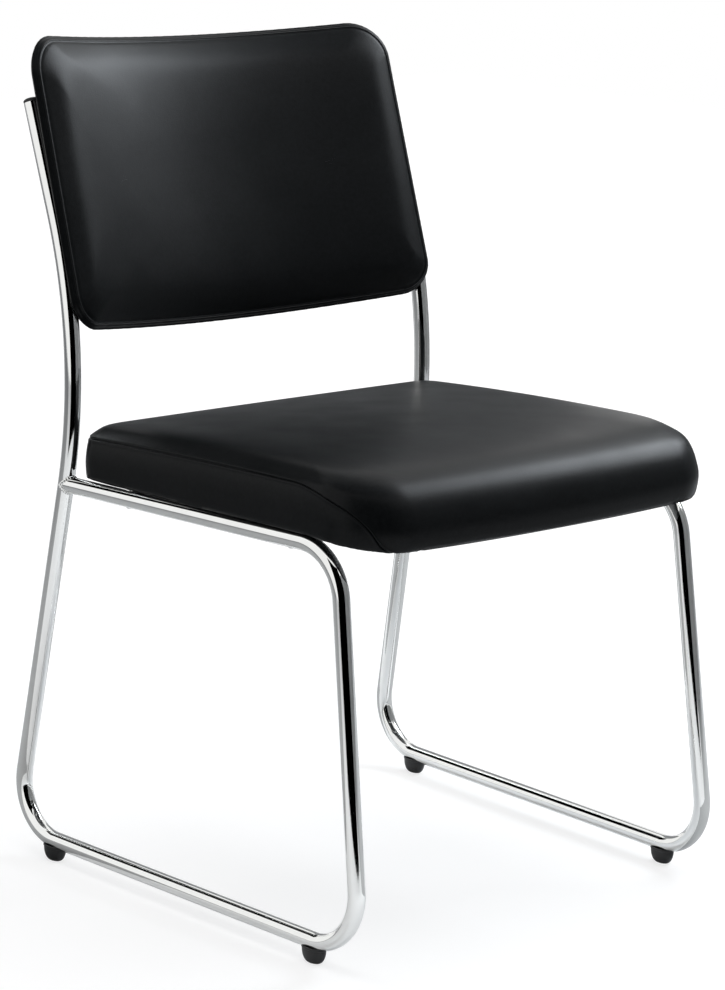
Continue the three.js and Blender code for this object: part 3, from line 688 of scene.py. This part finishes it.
def make_cross_tube(end, y):
    """A straight tube between the seat rails, coped and welded against them, with hollow ends."""
    angles = circle(TUBE_SIDES)
    reach = on_seat_rail(1, y)[0]
    lean = on_seat_rail(1, y + 1)[0] - reach
    ring = np.stack([0 * angles, y + TUBE_RADIUS * np.cos(angles), TUBE_RADIUS * np.sin(angles)], -1)
    nearness = TUBE_RADIUS * np.sqrt(np.cos(angles) ** 2 + CROSS_COPE_BLEND)
    axis = np.array([0, y, 0])
    step = np.array([COPE_MARGIN, 0, 0])
    halves = []
    for side in (-1, 1):
        cope = ring.copy()
        cope[:, 0] = side * (reach + lean * TUBE_RADIUS * np.cos(angles) - nearness)
        hollow = axis + (cope - axis) * (1, WALL_SHARE, WALL_SHARE)
        hollow[:, 0] -= side * EDGE_DEPTH
        deep = hollow.copy()
        deep[:, 0] = side * (reach - CROSS_END_DEPTH)
        halves.append([deep, hollow, cope, cope - side * step])
    form = Form().skin([from_seat(r) for r in halves[0] + halves[1][::-1]], start=True, end=True)
    angles = circle(BEAD_POINTS * TUBE_SIDES)
    outward = np.stack([0 * angles, np.cos(angles), np.sin(angles)], -1)
    for _, _, cope, _ in halves:
        bead(form, from_seat(finer(cope)), outward)
    form.piece(f"cross_tube_bar_{end}", CHROME, "chrome_tube", f"cross_tube_{end}")


def make_seat_bolts():
    for end, y in (("front", FRONT_CROSS_Y), ("rear", REAR_CROSS_Y)):
        for word, x in (("left", -SEAT_BOLT_X), ("right", SEAT_BOLT_X)):
            origin = np.array([x, y, 0])
            form = button_head(lambda points: from_seat(points + origin), -TUBE_RADIUS - CLEARANCE,
                               SEAT_BOLT_LENGTH)
            form.piece(f"seat_screw_{end}_{word}", ZINC, "zinc_steel", f"seat_bolt_{end}_{word}")


# Cushions

def outline(form, inset, steps=OUTLINE_STEPS, rounding=0):
    """A cushion's outline as matching points, from the middle of its right side round by the rear.

    form is SEAT_FORM or BACK_FORM. inset is the distance inwards, the same all round or by sides, front and
    rear. rounding turns the corners into an oval.
    """
    half_width, front, rear, front_radius, rear_radius, front_bow, rear_bow, taper = form
    side_inset, front_inset, rear_inset = np.broadcast_to(inset, 3)
    side_steps, end_steps, corner_steps = steps
    half = half_width - side_inset
    front = front + front_inset
    rear = rear - rear_inset
    middle = (front + rear) / 2
    most = MOST_CORNER_SHARE * min(half, (rear - front) / 2)
    radii = []
    for radius in (front_radius, rear_radius):
        sharp = max(radius - side_inset, LEAST_CORNER_RADIUS)
        radii.append(min(sharp + (most - sharp) * rounding, most))
    points = []

    def line(x0, y0, x1, y1, count):
        share = (np.arange(count) / count)[:, None]
        points.append(np.array([x0, y0]) + share * np.array([x1 - x0, y1 - y0]))

    def corner(x, y, radius, start):
        angles = start + math.pi / 2 * np.arange(corner_steps) / corner_steps
        points.append(np.stack([x + radius * np.cos(angles), y + radius * np.sin(angles)], -1))

    f, r = radii
    line(half, middle, half, rear - r, side_steps)
    corner(half - r, rear - r, r, 0)
    line(half - r, rear, r - half, rear, end_steps)
    corner(r - half, rear - r, r, math.pi / 2)
    line(-half, rear - r, -half, middle, side_steps)
    line(-half, middle, -half, front + f, side_steps)
    corner(f - half, front + f, f, math.pi)
    line(f - half, front, half - f, front, end_steps)
    corner(half - f, front + f, f, math.pi * 3 / 2)
    line(half, front + f, half, middle, side_steps)
    ring = np.concatenate(points)
    across = ring[:, 0] / half
    along = (ring[:, 1] - middle) / (rear - middle)
    bow = np.where(along < 0, front_bow * -along, -rear_bow * along)
    return np.stack([ring[:, 0] * (1 - taper * along / half), ring[:, 1] + bow * across ** 2], -1)


# Half width, front, rear, front radius, rear radius, front bow, rear bow and taper
SEAT_FORM = (SEAT_HALF_WIDTH, SEAT_FRONT_Y, SEAT_REAR_Y, SEAT_FRONT_RADIUS, SEAT_REAR_RADIUS,
             SEAT_FRONT_BOW, SEAT_REAR_BOW, 0)
BACK_FORM = (BACK_HALF_WIDTH, -BACK_HALF_HEIGHT, BACK_HALF_HEIGHT, BACK_BOTTOM_RADIUS, BACK_TOP_RADIUS,
             BACK_BOTTOM_BOW, BACK_TOP_BOW, BACK_TAPER)


def smooth_table(table, at):
    """Monotone cubic interpolation between a table's rows, by row number."""
    table = np.asarray(table, float)
    slopes = np.zeros_like(table)
    steps = np.diff(table, axis=0)
    both = steps[:-1] * steps[1:] > 0
    total = np.where(both, steps[:-1] + steps[1:], 1)
    slopes[1:-1] = np.where(both, 2 * steps[:-1] * steps[1:] / total, 0)
    slopes[0] = steps[0]
    slopes[-1, 0] = steps[-1, 0]
    row = np.clip(np.floor(at).astype(int), 0, len(table) - 2)
    t = (at - row)[:, None]
    return ((1 + 2 * t) * (1 - t) ** 2 * table[row] + t * (1 - t) ** 2 * slopes[row]
            + t * t * (3 - 2 * t) * table[row + 1] + t * t * (t - 1) * slopes[row + 1])


def section_rings(form, section, reaches, samples):
    """A cushion's dense rings up to the middle of its crown, each with its share of the section's depth."""
    shares = smooth_table(section, np.linspace(0, len(section) - 1, samples))
    rings = []
    for *inwards, depth in shares:
        rounding = smoothstep(0.02, 1, inwards[0]) if depth > 0.4 else 0
        rings.append((outline(form, np.multiply(inwards, reaches), rounding=rounding), depth))
    last = rings[-1][0]
    middle = last.mean(0)
    rings += [(middle + (last - middle) * share, 1) for share in np.linspace(0.98, 0, CROWN_RINGS)]
    return rings, shares[:, -1]


def front_drop(y):
    """How far the seat's underside droops towards its front."""
    drop_from = SEAT_FRONT_Y + SEAT_DROP_LENGTH
    return SEAT_FRONT_DROP * np.maximum(0, (drop_from - y) / (drop_from - SEAT_FRONT_Y)) ** 2


def seat_surface():
    """The seat cushion from under its hem to its crown, and each section ring's share of the rise."""
    rings, shares = section_rings(SEAT_FORM, SEAT_SECTION, SEAT_REACHES, 360)
    peak = SEAT_FRONT_Y + SEAT_PEAK_SETBACK
    surface = []
    for ring, rise in rings:
        back = np.maximum(0, (ring[:, 1] - peak) / (SEAT_REAR_Y - peak))
        height = rise * SEAT_CROWN * (1 - SEAT_REAR_DROP_SHARE * back ** 2)
        height -= (1 - rise) * front_drop(ring[:, 1])
        surface.append(np.stack([ring[:, 0], ring[:, 1], CUSHION_Z + height], -1))
    return np.array(surface), shares


def back_bend(x):
    return -BACK_SAG * (np.asarray(x) / BACK_HALF_WIDTH) ** 2


def back_surface():
    """The back cushion from its rear hem to its crown, and each section ring's share of the depth."""
    rings, shares = section_rings(BACK_FORM, BACK_SECTION, BACK_REACH, 320)
    surface = []
    for ring, depth in rings:
        n = BACK_RIM_DEPTH - depth * (BACK_CROWN + BACK_RIM_DEPTH) + back_bend(ring[:, 0])
        surface.append(np.stack([ring[:, 0], n, ring[:, 1]], -1))
    return np.array(surface), shares


def follow_seam(surface, seam, lower_rings, upper_rings, steps_above=SEAM_STEPS):
    """Lays rings over a dense surface so that one of them runs along the seam, with close rings beside it.

    seam is, for each column, the row number of the surface that the seam passes. Gives the grid of points,
    each point's distance along the surface from the seam, and each column's place along the seam.
    """
    rows = np.arange(len(surface))
    grid = []
    distance = []
    for i, row in enumerate(seam):
        run = ring_run(surface[:, i])
        at_seam = np.interp(row, rows, run)
        squeeze = min(1, at_seam / (SEAM_STEPS[-1] * SEAM_ROOM))
        below = at_seam - np.array(SEAM_STEPS[::-1] + (0,)) * squeeze
        above = at_seam + np.array(steps_above)
        low = np.linspace(0, 1, lower_rings, endpoint=False) * below[0]
        high_share = (np.arange(1, upper_rings + 1) / upper_rings) ** CROWN_SPREAD
        high = above[-1] + high_share * (run[-1] - above[-1])
        places = np.concatenate([low, below, above, high])
        grid.append(np.stack([np.interp(places, run, surface[:, i, axis]) for axis in range(3)], -1))
        distance.append(places - at_seam)
    grid = np.array(grid).transpose(1, 0, 2)
    return grid, np.array(distance).T, ring_run(grid[lower_rings + len(SEAM_STEPS)])


def grid_normals(grid):
    around = np.roll(grid, -1, 1) - np.roll(grid, 1, 1)
    along = np.gradient(grid, axis=0)
    normal = np.cross(around, along)
    length = np.linalg.norm(normal, axis=2, keepdims=True)
    return normal / np.maximum(length, 1e-9)


def seam_relief(distance, along, depth=SEAM_DEPTH):
    """How far a plain seam draws the cover in, with a slight swell beside it and small puckers along it."""
    groove = -depth * np.exp(-(distance / SEAM_WIDTH) ** 2)
    swell = SWELL_HEIGHT * np.exp(-((np.abs(distance) - SWELL_PLACE) / SWELL_WIDTH) ** 2)
    drift, length = PUCKER_DRIFT
    wave = np.sin(along * 2 * math.pi / PUCKER_PITCH + drift * np.sin(along / length))
    return groove + swell + PUCKER_HEIGHT * wave * np.exp(-(distance / PUCKER_REACH) ** 2)


def make_seat_cushion():
    """The seat's cover over its foam. Its side seam dives to the hem towards the front."""
    surface, shares = seat_surface()
    above_hem = np.arange(len(shares) // 4, len(shares))
    level = np.interp(SEAT_SEAM_SHARE, shares[above_hem], above_hem)
    y = surface[int(level), :, 1]
    forward = np.clip((SEAT_FRONT_Y + SEAT_SEAM_DIVE_FROM - y) / SEAT_SEAM_DIVE_LENGTH, 0, 1)
    dive = sum(share * forward ** power for share, power in SEAT_SEAM_DIVE)
    seam = level + (SEAT_SEAM_LAST_ROW - level) * dive
    grid, distance, along = follow_seam(surface, seam, *SEAT_RINGS)
    relief = seam_relief(distance, along) * (1 - smoothstep(0.9, 1, dive))
    grid = grid + grid_normals(grid) * relief[..., None]
    grid[-1] = grid[-1].mean(0)
    form = Form().skin(from_seat(grid), start=True)
    made = form.piece("seat_cushion", LEATHERETTE, "black_leatherette", "seat_cover", "seat_foam",
                      smooth_angle=75)


def upright_axis(side, heights):
    """X and Y of an upright's axis at the given heights, bend and all."""
    path = np.array([point for point, _ in frame_path(side)[:KINK_STEPS + 3]])[::-1]
    return np.interp(heights, path[:, 2], path[:, 0]), np.interp(heights, path[:, 2], path[:, 1])


def clear_of_uprights(points):
    """Presses the points of the back that would lie in an upright forwards, into a groove round it."""
    points = points.copy()
    tilt = math.cos((BACK_LEAN + UPRIGHT_LEAN) / 2)
    room = TUBE_RADIUS + CLEARANCE
    below = points[..., 2] < UPRIGHT_TOP_Z + PLUG_DOME
    for side in (-1, 1):
        x, y = upright_axis(side, np.minimum(points[..., 2], UPRIGHT_TOP_Z))
        across = np.abs(points[..., 0] - x)
        front = y - np.sqrt(np.maximum(room ** 2 - across ** 2, 0)) / tilt
        deep = points[..., 1] - front
        inside = (across < room) & (deep > 0) & below
        points[..., 1] = np.where(inside, front + GROOVE_GIVE * deep, points[..., 1])
    return points


def close_across(form, ring):
    """Closes a bent ring straight across, from each point to the one opposite it."""
    count = len(ring)
    faces = []
    for i in range(count // 2):
        a, b, c, d = i, i + 1, count - i - 1, (count - i) % count
        faces.append((a, b, c) if i == 0 else (a, b, c, d) if b != c else (a, b, d))
    form.add(ring, faces)


def make_back_cushion():
    """The back's cover over its foam, with a band between two seams and a groove round each upright."""
    surface, shares = back_surface()
    level = np.interp(BACK_SEAM_SHARE, shares, np.arange(len(shares)))
    seam = np.full(surface.shape[1], level)
    grid, distance, along = follow_seam(surface, seam, *BACK_RINGS, SECOND_SEAM_STEPS)
    relief = seam_relief(distance, along) + seam_relief(
        distance - BACK_SEAM_BAND, along + 3, depth=BACK_SECOND_SEAM_DEPTH)
    grid = grid - grid_normals(grid) * relief[..., None]
    grid[-1] = grid[-1].mean(0)
    points = clear_of_uprights(from_back(grid))
    form = Form().skin(points)
    close_across(form, points[0])
    made = form.piece("back_cushion", LEATHERETTE, "black_leatherette", "back_cover", "back_foam",
                      smooth_angle=75)


def make_back_panel():
    """The covered rear panel: thin, bent with the back, with soft edges."""
    front = BACK_RIM_DEPTH + CLEARANCE
    rear = BACK_PANEL_REAR
    profile = [(0, front), (-0.5, front + 0.5), (-0.5, rear - 0.9), (0.3, rear - 0.2), (1.4, rear),
               (6, rear + 0.15), (20, rear + 0.2)]
    rings = []
    for step_in, depth in profile:
        ring = outline(BACK_FORM, BACK_PANEL_INSET + step_in)
        rings.append(from_back(np.stack([ring[:, 0], depth + back_bend(ring[:, 0]), ring[:, 1]], -1)))
    form = Form().skin(rings)
    close_across(form, rings[0])
    close_across(form, rings[-1])
    form.piece("back_rear_cover", LEATHERETTE_REAR, "black_leatherette", "back_rear_panel", smooth_angle=60)


def back_place(sign, z):
    """A frame for each back bolt, whose Z points forwards, square to the bent panel there."""
    slope = -sign * math.atan(2 * BACK_SAG * BACK_BOLT_X / BACK_HALF_WIDTH ** 2)
    cos, sin = math.cos(slope), math.sin(slope)
    basis = np.array([(cos, sin, 0), (0, 0, 1), (sin, -cos, 0)])
    origin = np.array([sign * BACK_BOLT_X, back_bend(BACK_BOLT_X), z])
    return lambda points: from_back(origin + np.asarray(points, float) @ basis), origin


def make_lug(word, end, sign, z):
    """A flat steel lug that is bolted behind the panel and welded to the upright."""
    place, origin = back_place(sign, z)
    half = LUG_HEIGHT / 2
    rear = -(BACK_PANEL_REAR + CLEARANCE + LUG_THICKNESS)
    level = from_back(origin)[2]
    low, high = (np.array([*upright_axis(sign, height), height]) for height in (level - half, level + half))
    axis = unit(high - low)

    def weld_point(y, face):
        flat = place(np.array([0, y, face]))
        across = place(np.array([sign, y, face])) - flat
        reach = contact(flat, across, low, axis)
        return reach, flat + across * reach

    middle_face = rear + LUG_THICKNESS / 2
    edge = [(weld_point(y, middle_face)[0] + LUG_WELD_OVERLAP, y) for y in (-half, half)]
    radius = LUG_CORNER_RADIUS
    for start, y in ((math.pi / 2, half - radius), (math.pi, radius - half)):
        edge += [(radius - LUG_INNER_END + radius * math.cos(angle), y + radius * math.sin(angle))
                 for angle in np.linspace(start, start + math.pi / 2, 13)]
    edge = np.array(edge)
    middle = edge.mean(0)
    bevel = [(0.5, 0), (0.15, 0.15), (0, 0.5)]
    rings = []
    for inward, height in bevel + [(inward, LUG_THICKNESS - height) for inward, height in bevel[::-1]]:
        shape = (middle + (edge - middle) * (1 - inward / half)) * (sign, 1)
        rings.append(place(np.column_stack([shape, np.full(len(shape), rear + height)])))
    form = Form().skin(rings, start=True, end=True)
    for face in (rear, rear + LUG_THICKNESS):
        line = []
        outward = []
        for y in np.linspace(-half + 1.5, half - 1.5, 60):
            point = weld_point(y, face)[1]
            line.append(point)
            outward.append(unit(point - low - axis * ((point - low) @ axis)))
        bead(form, line, outward, radius=LUG_BEAD_RADIUS, closed=False)
    form.piece(f"back_lug_plate_{word}_{end}", CHROME, "chrome_tube", f"back_lug_{word}_{end}")


def contact(start, step, axis_point, axis):
    """How many steps from the start a line meets the tube round an axis."""
    offset = start - axis_point
    offset = offset - axis * (offset @ axis)
    flat = step - axis * (step @ axis)
    a, b, c = flat @ flat, 2 * offset @ flat, offset @ offset - TUBE_RADIUS ** 2
    root = max(b * b - 4 * a * c, 0)
    return (-b - math.sqrt(root)) / (2 * a)


def make_dust_cover():
    """A thin cloth stapled under the seat, drawn tight, with its edges folded in."""
    rings = []
    for share in np.arange(DUST_COVER_RINGS + 1) / DUST_COVER_RINGS:
        inset = DUST_COVER_INSET + share ** 1.4 * DUST_COVER_REACH
        ring = outline(SEAT_FORM, inset, SHEET_STEPS, smoothstep(0.2, 1, share))
        pull = PULL_DEPTH * np.cos(ring_run(ring) * 2 * math.pi / PULL_PITCH) * math.exp(-share * 9)
        hem = HEM_DEPTH if inset < DUST_COVER_INSET + HEM_WIDTH else 0
        z = DUST_COVER_Z + DUST_COVER_THICKNESS - front_drop(ring[:, 1]) - DUST_COVER_SINK - hem + pull
        rings.append(np.column_stack([ring, z]))
    upper = [r + np.array([0, 0, DUST_COVER_SKIN]) for r in rings]
    form = Form().skin([from_seat(r) for r in rings[::-1] + upper], start=True, end=True)
    made = form.piece("seat_dust_sheet", CLOTH, "black_cloth", "seat_dust_cover", smooth_angle=60)


def make_staples():
    """Staple crowns round the dust cover's hem."""
    ring = outline(SEAT_FORM, DUST_COVER_INSET + STAPLE_INSET, SHEET_STEPS)
    run = ring_run(ring)
    angles = circle(STAPLE_SIDES)[:, None]
    up = np.array([0, 0, 1])
    broad, high = STAPLE_WIRE
    form = Form()
    for place in np.arange(STAPLE_PITCH / 2, run[-1], STAPLE_PITCH):
        here, ahead = (np.array([np.interp(at, run, ring[:, axis]) for axis in (0, 1)])
                       for at in (place, place + 2))
        along = unit(np.append(ahead - here, 0))
        wire = broad * np.cos(angles) * np.cross(along, up) + high * np.sin(angles) * up
        crown = np.append(here, DUST_COVER_Z - front_drop(here[1]) - STAPLE_DEPTH)
        rings = [from_seat(crown + along * reach + up * lift + wire) for reach, lift in STAPLE_SHAPE]
        form.skin(rings, start=True, end=True)
    form.piece("seat_staples", ZINC, "zinc_steel")


def make_all():
    for side, word in ((-1, "left"), (1, "right")):
        make_side_frame(side, word)
        make_plug(side, word)
        for end, sign in (("front", -1), ("rear", 1)):
            make_glide(side, end, sign, word)
        for end, z in (("lower", -BACK_BOLT_Z), ("upper", BACK_BOLT_Z)):
            make_lug(word, end, side, z)
            place, _ = back_place(side, z)
            head = BACK_PANEL_REAR + 2 * CLEARANCE + LUG_THICKNESS
            form = button_head(place, -head, BACK_BOLT_LENGTH)
            form.piece(f"back_screw_{word}_{end}", ZINC, "zinc_steel", f"back_bolt_{word}_{end}")
    for end, y in (("front", FRONT_CROSS_Y), ("rear", REAR_CROSS_Y)):
        make_cross_tube(end, y)
    make_seat_bolts()
    make_seat_cushion()
    make_back_cushion()
    make_back_panel()
    make_dust_cover()
    make_staples()
    slots = {part["node"]: part["material_slot"] for part in frame["record"]["subparts"]}
    for name, made in frame["nodes"].items():
        made.data.materials.clear()
        made.data.materials.append(SLOTS[slots[name]])


# Camera, floor and light

# The photograph's view: azimuth, elevation and roll in degrees, then metres and the lens in millimetres
PHOTO_VIEW = (-43.10928, 12.53338, 1.94493)
PHOTO_TARGET = (-0.020412, ORIGIN_Y, 0.391607)
PHOTO_DISTANCE = 3.47481
PHOTO_LENS = 124.84

FLOOR_REACH = 6
FLOOR_WHITE = 0.86
FLOOR_MIRRORED = 0.15
GLOW_WHITE = 1.15
FADE_SHARES = (0.64, 1)
FADE_REACH = (0.5, 1.3)

# The world's light by the height of its direction, as stops of a ramp
HORIZON = (0.3, (0.035, 0.036, 0.038))
CEILING = (0.62, (0.36, 0.37, 0.39))

# Softboxes: place, aim, size, power in watts, colour, and whether the chair mirrors them
SOFTBOXES = {
    "key_softbox": ((1.9, -0.3, 1.95), (0, 0, 0.55), (1.5, 1.1), 53, (0.88, 0.94, 1), True),
    "fill_softbox": ((-2.2, -1.6, 1.9), (0, 0, 0.55), (1.2, 1.2), 5, (1, 1, 1), False),
    "top_softbox": ((0, 0.2, 3), (0, 0, 0), (2.4, 2.4), 60, (1, 1, 1), False),
}

# Cards: azimuths of the ends, radii and heights of the two edges, and grey
CARD_STEPS = 36
CARDS = {
    "front_card": ((-72, -2), (1.7, 1.7), (0, 2.5), 0),
    "front_right_card": ((-2, 52), (1.7, 1.7), (0.1, 1.7), 0.22),
    "right_card": ((50, 118), (1.9, 1.9), (0.12, 1.25), 0.3),
    "rear_right_card": ((126, 172), (1.9, 1.9), (0.3, 1.5), 0.25),
    "rear_card": ((174, 214), (1.6, 1.6), (1.1, 2.3), 0),
    "canopy": ((0, 360), (0.01, 1.3), (2.6, 2.6), 0.15),
    "floor_card_right": ((7, 170), (0.35, 5), (0.003, 0.003), 0.42),
    "floor_card_left": ((-170, -100), (0.3, 5), (0.003, 0.003), 0.42),
}


def make_camera():
    a, e, r = np.radians(PHOTO_VIEW)
    back = Vector((math.sin(a) * math.cos(e), -math.cos(a) * math.cos(e), math.sin(e)))
    level = Vector((math.cos(a), math.sin(a), 0))
    upright = back.cross(level)
    right = level * math.cos(r) + upright * math.sin(r)
    up = upright * math.cos(r) - level * math.sin(r)
    data = bpy.data.cameras.new("photo_camera")
    data.lens = PHOTO_LENS
    camera = bpy.data.objects.new("photo_camera", data)
    turn = Matrix((right, up, back)).transposed().to_4x4()
    camera.matrix_world = Matrix.Translation(Vector(PHOTO_TARGET) + back * PHOTO_DISTANCE) @ turn
    bpy.context.collection.objects.link(camera)
    bpy.context.scene.camera = camera


def background_rays(tree, mirrored=1):
    """1 for the camera's rays, which see the plain background, and a share for mirrored and refracted."""
    rays = node(tree, "ShaderNodeLightPath")
    total = rays.outputs["Is Camera Ray"]
    for kind in ("Is Glossy Ray", "Is Transmission Ray"):
        made = node(tree, "ShaderNodeMath", operation="MULTIPLY_ADD", use_clamp=True)
        made.inputs[1].default_value = mirrored
        tree.links.new(rays.outputs[kind], made.inputs[0])
        tree.links.new(total, made.inputs[2])
        total = made.outputs["Value"]
    return total


def make_floor():
    """A white floor that keeps its shadows. Away from the chair it fades into the background."""
    material, tree, shader = new_material("pale_floor", (FLOOR_WHITE,) * 3, 0.7)
    link = tree.links.new
    glow = node(tree, "ShaderNodeEmission", Color=(GLOW_WHITE, GLOW_WHITE, GLOW_WHITE, 1))
    far = node(tree, "ShaderNodeVectorMath", operation="LENGTH")
    link(node(tree, "ShaderNodeTexCoord").outputs["Object"], far.inputs[0])
    share = node(tree, "ShaderNodeMath", operation="MULTIPLY")
    link(background_rays(tree, FLOOR_MIRRORED), share.inputs[0])
    link(spread(tree, far.outputs["Value"], *FADE_SHARES, *FADE_REACH), share.inputs[1])
    mix = node(tree, "ShaderNodeMixShader")
    link(share.outputs["Value"], mix.inputs["Fac"])
    link(shader.outputs["BSDF"], mix.inputs[1])
    link(glow.outputs["Emission"], mix.inputs[2])
    link(mix.outputs["Shader"], tree.nodes["Material Output"].inputs["Surface"])
    corners = [(x * FLOOR_REACH, y * FLOOR_REACH, 0) for x, y in ((-1, -1), (1, -1), (1, 1), (-1, 1))]
    floor = add_mesh("floor", corners, [(0, 1, 2, 3)], material)


def make_card(name, azimuths, radii, heights, grey):
    """A card that only reflections see, upright or level, bent round the chair between two azimuths."""
    material, _, shader = new_material(name, (grey,) * 3, 1)
    shader.inputs["Specular IOR Level"].default_value = 0
    points = []
    for azimuth in np.radians(np.linspace(*azimuths, CARD_STEPS + 1)):
        for radius, height in zip(radii, heights):
            points.append((radius * math.sin(azimuth), -radius * math.cos(azimuth), height))
    faces = [(2 * i, 2 * i + 1, 2 * i + 3, 2 * i + 2) for i in range(CARD_STEPS)]
    card = add_mesh(name, points, faces, material)
    card.visible_camera = False
    card.visible_diffuse = False
    card.visible_shadow = False
    card.visible_transmission = False


def make_light(name, place, aim, size, power, colour, mirrored):
    data = bpy.data.lights.new(name, "AREA")
    data.shape = "RECTANGLE"
    data.size, data.size_y = size
    data.energy = power
    data.color = colour
    lamp = bpy.data.objects.new(name, data)
    place, aim = Vector(place), Vector(aim)
    turn = (place - aim).to_track_quat("Z", "Y").to_matrix().to_4x4()
    lamp.matrix_world = Matrix.Translation(place) @ turn
    lamp.visible_glossy = mirrored
    bpy.context.collection.objects.link(lamp)


def make_world():
    """White, as the background shows. The light that it gives is a dim horizon under a paler ceiling."""
    world = bpy.data.worlds.new("studio")
    world.use_nodes = True
    bpy.context.scene.world = world
    tree = world.node_tree
    link = tree.links.new
    parts = node(tree, "ShaderNodeSeparateXYZ")
    link(node(tree, "ShaderNodeTexCoord").outputs["Generated"], parts.inputs["Vector"])
    mix = node(tree, "ShaderNodeMix", data_type="RGBA")
    mix.inputs[7].default_value = (1, 1, 1, 1)
    link(colour_ramp(tree, parts.outputs["Z"], HORIZON, CEILING), mix.inputs[6])
    link(background_rays(tree), mix.inputs[0])
    link(mix.outputs[2], tree.nodes["Background"].inputs["Color"])


def make_studio():
    make_camera()
    make_floor()
    make_world()
    for name, values in SOFTBOXES.items():
        make_light(name, *values)
    for name, values in CARDS.items():
        make_card(name, *values)


make_all()
make_studio()
bpy.context.scene.view_settings.view_transform = "Standard"
